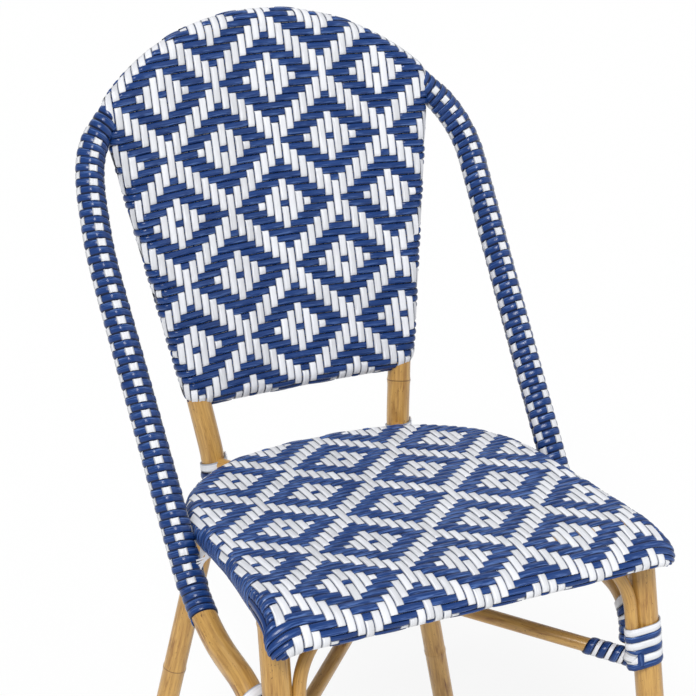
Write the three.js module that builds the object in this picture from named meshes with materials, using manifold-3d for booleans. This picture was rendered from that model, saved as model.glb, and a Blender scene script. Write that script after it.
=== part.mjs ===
import * as THREE from "three";
import { mergeVertices } from "three/addons/utils/BufferGeometryUtils.js";
import Module from "manifold-3d";

// Bistro chair with bent metal tubes painted like bamboo and a woven seat and back.
// Millimetres, +Z up, the sitter looks along -Y, floor at Z = 0.

// Main tubes
const tubeRadius = 12.5;
const rimTubeRadius = 13;
const braceRadius = 6.5;
const stretcherRadius = 7;
const crossRailRadius = 8;
const stubRadius = 7;
const fitGap = 0.3;

// Woven skins
const seatWeaveThickness = 2.4;
const sheetLap = 5;
const backWeaveThickness = 2.1;
const backWeaveClearance = 0.6;
const loopWeaveThickness = 1.7;

// Seat, measured to the centre line of its rim tube
const seatHeight = 447;
const seatHalfWidth = 180;
const seatRearReach = 164;
const seatFrontReach = 205;
const seatFrontHalfWidth = 194;
const seatCornerRadius = 16;
const seatRearPowerShare = 2.5;
const frontRailSetback = 49;
const rearRailBack = 70;

// Backrest, measured along its slope from the height of the seat
const backTiltDegrees = 12.2;
const backFaceBehind = 184.5;
const backCurveRadius = 1000;
const archRadius = 237;
const archTop = 440;
const panelBottom = 65;
const panelBottomHalfWidth = 120;
const panelSideSlopeShare = 0.173;
const shoulderRounding = 14;
const panelCornerRounding = 6;

// Rear legs, which run on as the backrest uprights
const waistHalfWidth = 107;
const waistBehind = 191;
const waistDrop = 32;
const waistBendRadius = 150;
const rearFootHalfSpread = 198.6;
const rearFootBehind = 253.5;

// Front legs
const frontLegSetback = 47;
const frontLegTopOut = 1;
const frontFootOut = 11;
const frontFootForward = 51;

// Outer loops, which run on as the side braces
const loopShoulderRun = 72;
const loopShoulderBendRadius = 110;
const loopStandOff = 30;
const loopPassBehind = 24.1;
const loopLowBendDrop = 86;
const loopLowBendRadius = 133;
const loopEndBendDrop = 105;
const loopEndBendOutward = 9.3;
const loopEndBendRadius = 51;
const loopEndDrop = 148;
const loopEndOutward = 3;
const loopWeaveEndDrop = 80;

// Front corner braces and crossed stretchers
const braceSideShare = 0.96;
const braceBendDrop = 62;
const braceBendRadius = 70;
const braceTopInward = 77;
const braceFootDrop = 155;
const stretcherEndOut = 9.4;
const stretcherEndBehind = 11.7;
const stretcherEndDrop = 165;
const stretcherCrossBehind = 42;
const stretcherCrossDrop = 125;
const stretcherRearDrop = 100;
const stretcherBendRadius = 80;
const stretcherPassGap = 1;

// Flat straps wound round the joints
const strapThickness = 1.6;
const jointStrapWidth = 6.8;
const jointStrapPitch = 15;
const jointStrapTurns = 3;
const jointStrapTopDrop = 112;
const braceStrapWidth = 5.8;
const braceStrapPitch = 17;
const braceStrapTurns = 2;
const braceStrapRun = 53;
const stretcherStrapPitch = 13.4;
const stretcherStrapTurns = 3;
const stretcherBlueWidth = 8;
const stretcherWhiteWidth = 4;
const stretcherStrapStart = 27;
const collarStrapWidth = 8;
const collarStrapPitch = 19;
const collarStrapTurns = 1.25;
const collarDrop = 33;

// Ties between loops and seat, and the glides under the legs
const tieRadius = 7;
const tieDrop = 22;
const glideWall = 1.6;
const glideBase = 5;
const glideSkirt = 14;

// Fineness of the faceted surfaces
const tubeSides = 12;
const rimWrapSides = 7;
const bendStepDegrees = 10;
const archSteps = 14;
const sideSteps = 5;
const railSteps = 6;
const rearCurveSteps = 22;
const cornerSteps = 4;

const bambooPaint = new THREE.MeshStandardMaterial({ color: "#c39a4f", roughness: 0.42, metalness: 0 });
const blueWeave = new THREE.MeshStandardMaterial({ color: "#244280", roughness: 0.38, metalness: 0 });
const whiteWeave = new THREE.MeshStandardMaterial({ color: "#e5e5e9", roughness: 0.5, metalness: 0 });
const glidePlastic = new THREE.MeshStandardMaterial({ color: "#b08a48", roughness: 0.6, metalness: 0 });

const wasm = await Module();
wasm.setup();

const at = (x, y, z) => new THREE.Vector3(x, y, z);
const radians = THREE.MathUtils.degToRad;
const fullTurn = 2 * Math.PI;
const upward = at(0, 0, 1);
const rimRadius = rimTubeRadius + fitGap + seatWeaveThickness;
const rimHeight = seatHeight - rimRadius;
const frontLegForward = seatFrontReach - frontLegSetback;
const frontRailForward = seatFrontReach - frontRailSetback;
const chair = new THREE.Group();

// Solids from rings of points
function signedVolume(vertices, faces) {
  const cross = at(0, 0, 0);
  let sum = 0;
  for (const [a, b, c] of faces) {
    sum += vertices[a].dot(cross.crossVectors(vertices[b], vertices[c]));
  }
  return sum;
}

function centroid(points) {
  const sum = at(0, 0, 0);
  points.forEach((point) => sum.add(point));
  return sum.divideScalar(points.length);
}

function ringSolid(rings, closesOnItself = false) {
  const count = rings[0].length;
  const vertices = rings.flat();
  const faces = [];
  const last = closesOnItself ? rings.length : rings.length - 1;
  for (let i = 0; i < last; i += 1) {
    const low = i * count;
    const high = ((i + 1) % rings.length) * count;
    for (let j = 0; j < count; j += 1) {
      const k = (j + 1) % count;
      faces.push([low + j, low + k, high + k], [low + j, high + k, high + j]);
    }
  }
  if (!closesOnItself) {
    const first = vertices.push(centroid(rings[0])) - 1;
    const end = vertices.push(centroid(rings.at(-1))) - 1;
    const top = (rings.length - 1) * count;
    for (let j = 0; j < count; j += 1) {
      const k = (j + 1) % count;
      faces.push([first, k, j], [end, top + j, top + k]);
    }
  }
  if (signedVolume(vertices, faces) < 0) {
    faces.forEach((face) => face.reverse());
  }
  const geometry = new THREE.BufferGeometry();
  const positions = vertices.flatMap((vertex) => vertex.toArray());
  geometry.setAttribute("position", new THREE.Float32BufferAttribute(positions, 3));
  geometry.setIndex(faces.flat());
  return geometry;
}

// Paths of bent tubes: straight runs joined by round bends
function bentPath(corners, bendRadii) {
  const points = [corners[0].clone()];
  for (let i = 1; i < corners.length - 1; i += 1) {
    const into = corners[i].clone().sub(corners[i - 1]).normalize();
    const out = corners[i + 1].clone().sub(corners[i]).normalize();
    const angle = into.angleTo(out);
    const run = bendRadii[i - 1] * Math.tan(angle / 2);
    const start = corners[i].clone().addScaledVector(into, -run);
    const inward = out.clone().addScaledVector(into, -out.dot(into)).normalize();
    const centre = start.clone().addScaledVector(inward, bendRadii[i - 1]);
    const steps = Math.max(1, Math.ceil(angle / radians(bendStepDegrees)));
    for (let k = 0; k <= steps; k += 1) {
      const turn = (angle * k) / steps;
      const reach = inward.clone().multiplyScalar(-Math.cos(turn)).addScaledVector(into, Math.sin(turn));
      points.push(centre.clone().addScaledVector(reach, bendRadii[i - 1]));
    }
  }
  points.push(corners.at(-1).clone());
  return points;
}

function stationsAlong(points, firstSide = at(1, 0, 0), ends = {}) {
  const side = firstSide.clone();
  const last = points.length - 1;
  let travelled = 0;
  return points.map((point, i) => {
    const before = points[Math.max(0, i - 1)];
    const after = points[Math.min(last, i + 1)];
    const arriving = point.clone().sub(before).normalize();
    const leaving = after.clone().sub(point).normalize();
    const along = arriving.add(leaving).normalize();
    if (i === 0 && ends.first) {
      along.copy(ends.first);
    }
    if (i === last && ends.last) {
      along.copy(ends.last);
    }
    side.addScaledVector(along, -side.dot(along)).normalize();
    travelled += i > 0 ? point.distanceTo(before) : 0;
    const across = side.clone();
    return { centre: point, along, across, lift: along.clone().cross(across), travelled };
  });
}

function circleRing(station, radius) {
  return Array.from({ length: tubeSides }, (_, j) => {
    const angle = (fullTurn * j) / tubeSides;
    return onStation(station, radius * Math.cos(angle), radius * Math.sin(angle));
  });
}

function onStation(station, x, y) {
  return station.centre.clone().addScaledVector(station.across, x).addScaledVector(station.lift, y);
}

function tube(stations, radius) {
  return ringSolid(stations.map((station) => circleRing(station, radius)));
}

function sleeve(stations, innerRadius, outerRadius) {
  const inner = stations.map((station) => circleRing(station, innerRadius));
  const outer = stations.map((station) => circleRing(station, outerRadius));
  return ringSolid([...outer, ...inner.toReversed()], true);
}

// Station at a distance along a path
function stationAt(stations, distance) {
  const last = stations.length - 1;
  let i = 1;
  while (i < last && stations[i].travelled < distance) {
    i += 1;
  }
  const [low, high] = [stations[i - 1], stations[i]];
  const share = (distance - low.travelled) / (high.travelled - low.travelled);
  const blend = (key) => low[key].clone().lerp(high[key], share);
  const along = blend("along").normalize();
  const across = blend("across");
  across.addScaledVector(along, -across.dot(along)).normalize();
  return { centre: blend("centre"), along, across, lift: along.clone().cross(across), travelled: distance };
}

function partOfPath(stations, from, to) {
  const inside = stations.filter(({ travelled }) => travelled > from + fitGap && travelled < to - fitGap);
  return [stationAt(stations, from), ...inside, stationAt(stations, to)];
}

// Booleans
function toSolid(geometry) {
  const bare = geometry.clone();
  bare.deleteAttribute("normal");
  bare.deleteAttribute("uv");
  const merged = mergeVertices(bare);
  return new wasm.Manifold(new wasm.Mesh({
    numProp: 3,
    vertProperties: new Float32Array(merged.attributes.position.array),
    triVerts: new Uint32Array(merged.index.array),
  }));
}

function fromSolid(solid) {
  const mesh = solid.getMesh();
  const geometry = new THREE.BufferGeometry();
  geometry.setAttribute("position", new THREE.BufferAttribute(mesh.vertProperties, 3));
  geometry.setIndex(new THREE.BufferAttribute(mesh.triVerts, 1));
  return geometry;
}

function cut(geometry, ...cutters) {
  return fromSolid(cutters.reduce((solid, cutter) => solid.subtract(toSolid(cutter)), toSolid(geometry)));
}

function join(first, ...others) {
  return fromSolid(others.reduce((solid, other) => solid.add(toSolid(other)), toSolid(first)));
}

function add(name, geometry, material) {
  const mesh = new THREE.Mesh(geometry, material);
  mesh.name = name;
  chair.add(mesh);
}

// Seat rim, from the right side round the rear to the left, then along the front
function rimHalfWidthAt(y) {
  if (y > 0) {
    const share = Math.min(1, y / seatRearReach) ** seatRearPowerShare;
    return seatHalfWidth * (1 - share) ** (1 / seatRearPowerShare);
  }
  return seatHalfWidth + (seatFrontHalfWidth - seatHalfWidth) * (-y / seatFrontReach);
}

function rimPlan() {
  const plan = [];
  for (let i = 0; i <= rearCurveSteps; i += 1) {
    const angle = (Math.PI * i) / rearCurveSteps;
    const c = Math.cos(angle);
    const s = Math.sin(angle);
    const x = Math.sign(c) * seatHalfWidth * Math.abs(c) ** (2 / seatRearPowerShare);
    plan.push([x, seatRearReach * s ** (2 / seatRearPowerShare)]);
  }
  const cornerY = seatCornerRadius - seatFrontReach;
  const cornerX = rimHalfWidthAt(cornerY) - seatCornerRadius;
  const corner = (sign, k) => {
    const angle = (Math.PI / 2) * (k / cornerSteps);
    const out = seatCornerRadius * Math.cos(angle);
    const forward = seatCornerRadius * Math.sin(angle);
    return [sign * (cornerX + out), cornerY - forward];
  };
  plan.push([-rimHalfWidthAt(cornerY / 2), cornerY / 2]);
  for (let k = 0; k <= cornerSteps; k += 1) {
    plan.push(corner(-1, k));
  }
  for (let k = cornerSteps; k >= 0; k -= 1) {
    plan.push(corner(1, k));
  }
  plan.push([rimHalfWidthAt(cornerY / 2), cornerY / 2]);
  return plan;
}

function rimStations() {
  const plan = rimPlan();
  return plan.map(([x, y], i) => {
    const before = plan[(i + plan.length - 1) % plan.length];
    const after = plan[(i + 1) % plan.length];
    const arriving = at(x - before[0], y - before[1], 0).normalize();
    const leaving = at(after[0] - x, after[1] - y, 0).normalize();
    const along = arriving.add(leaving).normalize();
    return { centre: at(x, y, rimHeight), along, across: along.clone().cross(upward), lift: upward };
  });
}

function rimTube(radius) {
  return ringSolid(rimStations().map((station) => circleRing(station, radius)), true);
}

// Backrest surface: width across, height along the slope, depth behind its front face
const tilt = radians(backTiltDegrees);
const backCavity = tubeRadius + backWeaveClearance;
const backDepth = backCavity + backWeaveThickness;
const slopeUp = at(0, Math.sin(tilt), Math.cos(tilt));
const slopeBack = at(0, Math.cos(tilt), -Math.sin(tilt));

function onBack(across, up, depth = backDepth) {
  const radius = backCurveRadius + depth;
  const forward = radius * (1 - Math.cos(across / radius));
  return at(radius * Math.sin(across / radius), backFaceBehind, seatHeight)
    .addScaledVector(slopeUp, up)
    .addScaledVector(slopeBack, depth - forward);
}

const sideHalfWidth = (up) => panelBottomHalfWidth + panelSideSlopeShare * (up - panelBottom);
const archCentre = archTop - archRadius;

// Shoulder: where the arch meets the sloping side
function shoulderHeight() {
  const slope = panelSideSlopeShare;
  const offset = sideHalfWidth(0);
  const a = slope * slope + 1;
  const b = 2 * (slope * offset - archCentre);
  const c = offset * offset + archCentre * archCentre - archRadius * archRadius;
  return (-b + Math.sqrt(b * b - 4 * a * c)) / (2 * a);
}

const shoulderUp = shoulderHeight();
const shoulderAngle = Math.asin(sideHalfWidth(shoulderUp) / archRadius);

function archPoint(angle) {
  return [archRadius * Math.sin(angle), archCentre + archRadius * Math.cos(angle)];
}

// The arch stops half a fit gap short of the shoulders, where the loops carry on
const archSpare = fitGap / 2 / archRadius;
const archEnd = shoulderAngle - archSpare;
const archPoints = Array.from({ length: archSteps + 1 }, (_, i) => {
  const [across, up] = archPoint(((2 * i) / archSteps - 1) * archEnd);
  return onBack(across, up);
});
const shoulder = onBack(...archPoint(shoulderAngle));
const shoulderLeaving = shoulder.clone().sub(archPoints.at(-1)).normalize();

// Outline of the panel's tubes, as points with outward directions in its own plane
function panelOutline() {
  const corners = [];
  for (let i = 0; i <= railSteps; i += 1) {
    corners.push([sideHalfWidth(panelBottom) * ((2 * i) / railSteps - 1), panelBottom]);
  }
  for (let i = 1; i <= sideSteps; i += 1) {
    const up = panelBottom + ((shoulderUp - panelBottom) * i) / sideSteps;
    corners.push([sideHalfWidth(up), up]);
  }
  for (let i = 1; i < archSteps; i += 1) {
    corners.push(archPoint(shoulderAngle * (1 - (2 * i) / archSteps)));
  }
  for (let i = sideSteps; i >= 1; i -= 1) {
    const up = panelBottom + ((shoulderUp - panelBottom) * i) / sideSteps;
    corners.push([-sideHalfWidth(up), up]);
  }
  return corners.flatMap((corner, i) => {
    const before = corners[(i + corners.length - 1) % corners.length];
    const after = corners[(i + 1) % corners.length];
    const into = new THREE.Vector2(corner[0] - before[0], corner[1] - before[1]).normalize();
    const out = new THREE.Vector2(after[0] - corner[0], after[1] - corner[1]).normalize();
    const angle = Math.acos(Math.min(1, into.dot(out)));
    if (angle < radians(2 * bendStepDegrees)) {
      const along = into.add(out).normalize();
      return [{ across: corner[0], up: corner[1], outX: along.y, outY: -along.x }];
    }
    const rounding = corner[1] > panelBottom ? shoulderRounding : panelCornerRounding;
    const run = rounding * Math.tan(angle / 2);
    const inward = new THREE.Vector2(-into.y, into.x);
    const centre = new THREE.Vector2(corner[0], corner[1]).addScaledVector(into, -run)
      .addScaledVector(inward, rounding);
    return Array.from({ length: cornerSteps + 1 }, (_, k) => {
      const turn = (angle * k) / cornerSteps;
      const outX = -inward.x * Math.cos(turn) + into.x * Math.sin(turn);
      const outY = -inward.y * Math.cos(turn) + into.y * Math.sin(turn);
      return { across: centre.x + rounding * outX, up: centre.y + rounding * outY, outX, outY };
    });
  });
}

// Pillow round the panel's tubes: flat faces front and rear, round at the rim
function panelPillow(radius) {
  const outline = panelOutline();
  const middleUp = (archTop + panelBottom) / 2;
  const innerShares = [0.3, 0.65];
  const inner = (share, depth) => outline.map(({ across, up }) => onBack(
    across * share,
    middleUp + (up - middleUp) * share,
    depth,
  ));
  const rim = Array.from({ length: tubeSides / 2 + 1 }, (_, k) => {
    const angle = (fullTurn * k) / tubeSides - Math.PI / 2;
    const reach = radius * Math.cos(angle);
    const depth = backDepth + radius * Math.sin(angle);
    return outline.map(({ across, up, outX, outY }) => onBack(
      across + reach * outX,
      up + reach * outY,
      depth,
    ));
  });
  return ringSolid([
    ...innerShares.map((share) => inner(share, backDepth - radius)),
    ...rim,
    ...innerShares.toReversed().map((share) => inner(share, backDepth + radius)),
  ]);
}

// A leg stops inside its glide, a base thickness above the floor along its own axis
function legEnd(foot, above) {
  const up = above.clone().sub(foot).normalize();
  const rise = glideBase + fitGap + tubeRadius * Math.sin(up.angleTo(upward));
  return foot.clone().addScaledVector(up, rise / up.z);
}

// Rear leg and upright in one bent tube
const rearFoot = at(rearFootHalfSpread, rearFootBehind, 0);
const rearWaist = at(waistHalfWidth, waistBehind, seatHeight - waistDrop);

function rearLegPoints() {
  const upright = Array.from({ length: sideSteps + 1 }, (_, i) => {
    const up = panelBottom + ((shoulderUp - panelBottom) * i) / sideSteps;
    return onBack(sideHalfWidth(up), up);
  });
  const lower = bentPath([legEnd(rearFoot, rearWaist), rearWaist, upright[0]], [waistBendRadius]);
  return [...lower, ...upright.slice(1)];
}

// Front leg
const frontLegTop = at(rimHalfWidthAt(-frontLegForward) + frontLegTopOut, -frontLegForward, rimHeight);
const frontFoot = at(frontLegTop.x + frontFootOut, -frontLegForward - frontFootForward, 0);

function besideFrontLeg(drop, out, behind) {
  const share = (drop - (seatHeight - rimHeight)) / rimHeight;
  return frontLegTop.clone().lerp(frontFoot, share).add(at(out, behind, 0));
}

// Outer loop and side brace in one bent tube
const strapStack = 2 * fitGap + strapThickness;
const sideBraceBehindLeg = 2 * tubeRadius + 2 * strapStack;

function loopPoints() {
  const start = shoulder.clone().addScaledVector(shoulderLeaving, fitGap / 2);
  const upperBend = shoulder.clone().addScaledVector(shoulderLeaving, loopShoulderRun);
  const besideSeat = at(
    rimHalfWidthAt(loopPassBehind) + loopStandOff,
    loopPassBehind,
    seatHeight - tieDrop,
  );
  const fall = (upperBend.z - seatHeight + loopLowBendDrop) / (upperBend.z - besideSeat.z);
  const lowerBend = upperBend.clone().lerp(besideSeat, fall);
  const endBend = besideFrontLeg(loopEndBendDrop, loopEndBendOutward, sideBraceBehindLeg);
  const end = besideFrontLeg(loopEndDrop, loopEndOutward, sideBraceBehindLeg);
  return bentPath(
    [start, upperBend, lowerBend, endBend, end],
    [loopShoulderBendRadius, loopLowBendRadius, loopEndBendRadius],
  );
}

// Corner brace from the front leg up to the front cross rail
const braceOffset = tubeRadius + braceRadius + fitGap;
const braceOut = -braceOffset * braceSideShare;
const braceAhead = Math.sqrt(braceOffset ** 2 - braceOut ** 2);

function cornerBracePoints() {
  return bentPath([
    besideFrontLeg(braceFootDrop, braceOut, -braceAhead),
    besideFrontLeg(braceBendDrop, braceOut, -braceAhead),
    at(frontLegTop.x - braceTopInward, -frontRailForward, rimHeight),
  ], [braceBendRadius]);
}

// Belt round one or more parallel circles, as points with outward directions
function beltOutline(circles) {
  const supportAt = (angle) => circles.reduce((best, circle, index) => {
    const reach = circle.x * Math.cos(angle) + circle.y * Math.sin(angle) + circle.radius;
    return reach > best.reach ? { reach, index } : best;
  }, { reach: -Infinity, index: 0 }).index;
  const belt = [];
  const put = (circle, angle) => belt.push({
    x: circle.x + circle.radius * Math.cos(angle),
    y: circle.y + circle.radius * Math.sin(angle),
    angle,
  });
  for (let k = 0; k < tubeSides; k += 1) {
    const angle = (fullTurn * k) / tubeSides;
    const next = (fullTurn * (k + 1)) / tubeSides;
    const here = circles[supportAt(angle)];
    const there = circles[supportAt(next)];
    put(here, angle);
    if (here !== there) {
      const base = Math.atan2(there.y - here.y, there.x - here.x);
      const distance = Math.hypot(there.x - here.x, there.y - here.y);
      const swing = Math.acos((here.radius - there.radius) / distance);
      const between = [base + swing, base - swing, base + swing + fullTurn, base - swing + fullTurn]
        .find((value) => value >= angle && value <= next);
      if (between !== undefined) {
        put(here, between);
        put(there, between);
      }
    }
  }
  return belt;
}

// Flat strap wound round a belt of circles that follows a path
function wound(name, stations, circles, { start, turns, pitch, width }) {
  const stand = fitGap + strapThickness / 2;
  const belt = beltOutline(circles.map((circle) => ({ ...circle, radius: circle.radius + stand })));
  const lengths = belt.map((point, i) => {
    const next = belt[(i + 1) % belt.length];
    return Math.hypot(next.x - point.x, next.y - point.y);
  });
  const oneTurn = lengths.reduce((sum, length) => sum + length, 0);
  const centres = [];
  let wrapped = 0;
  for (let k = 0; k <= Math.round(turns * belt.length); k += 1) {
    const point = belt[k % belt.length];
    const station = stationAt(stations, start + (wrapped / oneTurn) * pitch);
    centres.push({
      centre: onStation(station, point.x, point.y),
      outward: onStation(station, Math.cos(point.angle), Math.sin(point.angle)).sub(station.centre),
      along: station.along,
    });
    wrapped += lengths[k % belt.length];
  }
  const straightEnd = (end, next) => {
    const run = end.centre.clone().sub(next.centre).normalize();
    return { ...end, centre: end.centre.clone().addScaledVector(run, strapThickness) };
  };
  const [first, second] = centres;
  const spine = [straightEnd(first, second), ...centres, straightEnd(centres.at(-1), centres.at(-2))];
  const cornerShares = [[0.5, 0.5], [0.5, -0.5], [-0.5, -0.5], [-0.5, 0.5]];
  const rings = spine.map(({ centre, outward, along }) => cornerShares.map(([alongShare, outwardShare]) => {
    const corner = centre.clone().addScaledVector(along, alongShare * width);
    return corner.addScaledVector(outward, outwardShare * strapThickness);
  }));
  console.log(`${name}: least gap to itself ${leastGap(rings, belt.length).toFixed(2)} mm`);
  return ringSolid(rings);
}

// Least distance between the edges of a strap that are half a turn or more apart
function leastGap(rings, perTurn) {
  let least = Infinity;
  rings.forEach((ring, i) => {
    const others = rings.slice(i + Math.ceil(perTurn / 2)).flat();
    ring.forEach((corner) => others.forEach((other) => {
      least = Math.min(least, corner.distanceTo(other));
    }));
  });
  return least;
}

// Prism round a belt of circles, used to clear a bound joint
function beltPrism(stations, circles, from, to) {
  const grown = circles.map((circle) => ({ ...circle, radius: circle.radius + strapStack }));
  const belt = beltOutline(grown);
  return ringSolid([from, to].map((distance) => {
    const station = stationAt(stations, distance);
    return belt.map(({ x, y }) => onStation(station, x, y));
  }));
}

// Cup under a leg, cut flat on the floor
function glide(foot, above) {
  const up = above.clone().sub(foot).normalize();
  const inside = legEnd(foot, above).addScaledVector(up, -fitGap);
  const top = inside.clone().addScaledVector(up, glideSkirt);
  const below = foot.clone().addScaledVector(up, -glideSkirt);
  const [low, bottom, high] = stationsAlong([below, inside, top]);
  const inner = tubeRadius + fitGap;
  const outer = inner + glideWall;
  const cup = ringSolid([
    circleRing(low, outer),
    circleRing(high, outer),
    circleRing(high, inner),
    circleRing(bottom, inner),
  ]);
  const size = 2 * (rearFootBehind + frontFootForward + seatFrontReach);
  const floor = new THREE.BoxGeometry(size, size, 2 * glideSkirt);
  floor.translate(0, 0, -glideSkirt);
  return cut(cup, floor);
}

// Bars: a path with a radius, as a solid and as the space that clears it
const bar = (points, radius, side, ends) => ({ stations: stationsAlong(points, side, ends), radius });
const solid = ({ stations, radius }) => tube(stations, radius);
const clearing = ({ stations, radius }) => tube(stations, radius + fitGap);

function distanceAtHeight(stations, height) {
  const i = stations.findIndex((station, k) => k > 0
    && (station.centre.z - height) * (stations[k - 1].centre.z - height) <= 0);
  const [low, high] = [stations[i - 1], stations[i]];
  const share = (height - low.centre.z) / (high.centre.z - low.centre.z);
  return low.travelled + share * (high.travelled - low.travelled);
}

// The bars of one side: sign is 1 on the right and -1 on the left
function barsOfSide(sign) {
  const here = (points) => points.map(({ x, y, z }) => at(sign * x, y, z));
  const arch = sign > 0 ? archPoints : archPoints.toReversed();
  const loopHere = here(loopPoints());
  const crossingRise = sign * (stretcherRadius + stretcherPassGap / 2);
  const crossing = at(0, stretcherCrossBehind, seatHeight - stretcherCrossDrop + crossingRise);
  const front = besideFrontLeg(stretcherEndDrop, stretcherEndOut, stretcherEndBehind);
  const rear = rearFoot.clone().lerp(rearWaist, (seatHeight - stretcherRearDrop) / rearWaist.z);
  const [frontEnd, rearEnd] = [at(sign * front.x, front.y, front.z), at(-sign * rear.x, rear.y, rear.z)];
  return {
    sign,
    rearLeg: bar(here(rearLegPoints()), tubeRadius),
    frontLeg: bar(here([frontLegTop, legEnd(frontFoot, frontLegTop)]), tubeRadius),
    loop: bar(loopHere, tubeRadius, slopeBack),
    archAndLoop: bar([...arch, ...loopHere], tubeRadius, slopeBack),
    cornerBrace: bar(here(cornerBracePoints()), braceRadius),
    stretcher: bar(bentPath([frontEnd, crossing, rearEnd], [stretcherBendRadius]), stretcherRadius),
    rearGlideEnds: here([rearFoot, rearWaist]),
    frontGlideEnds: here([frontFoot, frontLegTop]),
  };
}

const right = barsOfSide(1);
const left = barsOfSide(-1);
const leftLeaving = at(-shoulderLeaving.x, shoulderLeaving.y, shoulderLeaving.z);
const arch = bar(archPoints, tubeRadius, slopeBack, { first: leftLeaving.negate(), last: shoulderLeaving });
const lowRail = bar(
  Array.from({ length: railSteps + 1 }, (_, i) => onBack(
    panelBottomHalfWidth * ((2 * i) / railSteps - 1),
    panelBottom,
  )),
  tubeRadius,
  slopeBack,
);
const crossRail = (y) => bar(
  [at(-rimHalfWidthAt(y), y, rimHeight), at(rimHalfWidthAt(y), y, rimHeight)],
  crossRailRadius,
  upward,
);
const frontRail = crossRail(-frontRailForward);
const rearRail = crossRail(rearRailBack);
const rimClearing = rimTube(rimTubeRadius + fitGap);

// Stub from the seat rim to the collar on the upright
function stub({ rearLeg }) {
  const upright = stationAt(rearLeg.stations, distanceAtHeight(rearLeg.stations, rimHeight)).centre;
  const nearest = rimStations().map(({ centre }) => centre)
    .reduce((best, point) => (point.distanceTo(upright) < best.distanceTo(upright) ? point : best));
  return bar([nearest, upright], stubRadius, upward);
}

// Tie between the loop's weave and the seat's woven rim
function tie({ loop, sign }) {
  const onLoop = stationAt(loop.stations, distanceAtHeight(loop.stations, seatHeight - tieDrop)).centre;
  const onRim = at(sign * rimHalfWidthAt(onLoop.y), onLoop.y, rimHeight);
  return bar([onRim, onLoop], tieRadius, upward);
}

// Woven seat: a sheet on top whose edge goes round the rim tube
function seatWeaveGeometry() {
  const inner = rimTubeRadius + fitGap;
  const wrap = Array.from({ length: rimWrapSides + 1 }, (_, k) => Math.PI / 2 - (fullTurn * k) / tubeSides);
  const outline = [
    ...wrap.map((angle) => [rimRadius * Math.cos(angle), rimRadius * Math.sin(angle)]),
    ...wrap.toReversed().map((angle) => [inner * Math.cos(angle), inner * Math.sin(angle)]),
    [-sheetLap, inner],
    [-sheetLap, rimRadius],
  ];
  const stations = rimStations();
  const edgeRings = stations.map((station) => outline.map(([out, up]) => onStation(station, out, up)));
  const edge = ringSolid(edgeRings, true);
  const inside = stations.map(({ centre, across }) => {
    const { x, y } = centre.clone().addScaledVector(across, -sheetLap / 2);
    return new THREE.Vector2(x, y);
  });
  const sheet = new THREE.ExtrudeGeometry(
    new THREE.Shape(inside),
    { depth: seatWeaveThickness, bevelEnabled: false },
  );
  sheet.translate(0, 0, rimHeight + inner);
  return join(edge, sheet);
}

// Frame and woven skins in the middle of the chair
add("back_arch", solid(arch), bambooPaint);
add("lower_back_rail", cut(solid(lowRail), clearing(right.rearLeg), clearing(left.rearLeg)), bambooPaint);
add("seat_rim", rimTube(rimTubeRadius), bambooPaint);
add(
  "seat_front_rail",
  cut(solid(frontRail), rimClearing, clearing(right.frontLeg), clearing(left.frontLeg)),
  bambooPaint,
);
add("seat_rear_rail", cut(solid(rearRail), rimClearing), bambooPaint);
add(
  "seat_weave",
  cut(
    seatWeaveGeometry(),
    clearing(right.frontLeg),
    clearing(left.frontLeg),
    clearing(stub(right)),
    clearing(stub(left)),
  ),
  blueWeave,
);
add(
  "back_weave",
  cut(
    panelPillow(backDepth),
    panelPillow(backCavity),
    clearing(right.rearLeg),
    clearing(left.rearLeg),
    clearing(right.archAndLoop),
    clearing(left.archAndLoop),
  ),
  blueWeave,
);

// Two straps of one joint, white and blue, half a pitch apart
function addStraps(name, stations, circles, { start, turns, pitch, whiteWidth, blueWidth }) {
  const white = `${name}_white_strap`;
  const blue = `${name}_blue_strap`;
  const behind = start + pitch / 2;
  add(white, wound(white, stations, circles, { start, turns, pitch, width: whiteWidth }), whiteWeave);
  add(blue, wound(blue, stations, circles, { start: behind, turns, pitch, width: blueWidth }), blueWeave);
}

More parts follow.
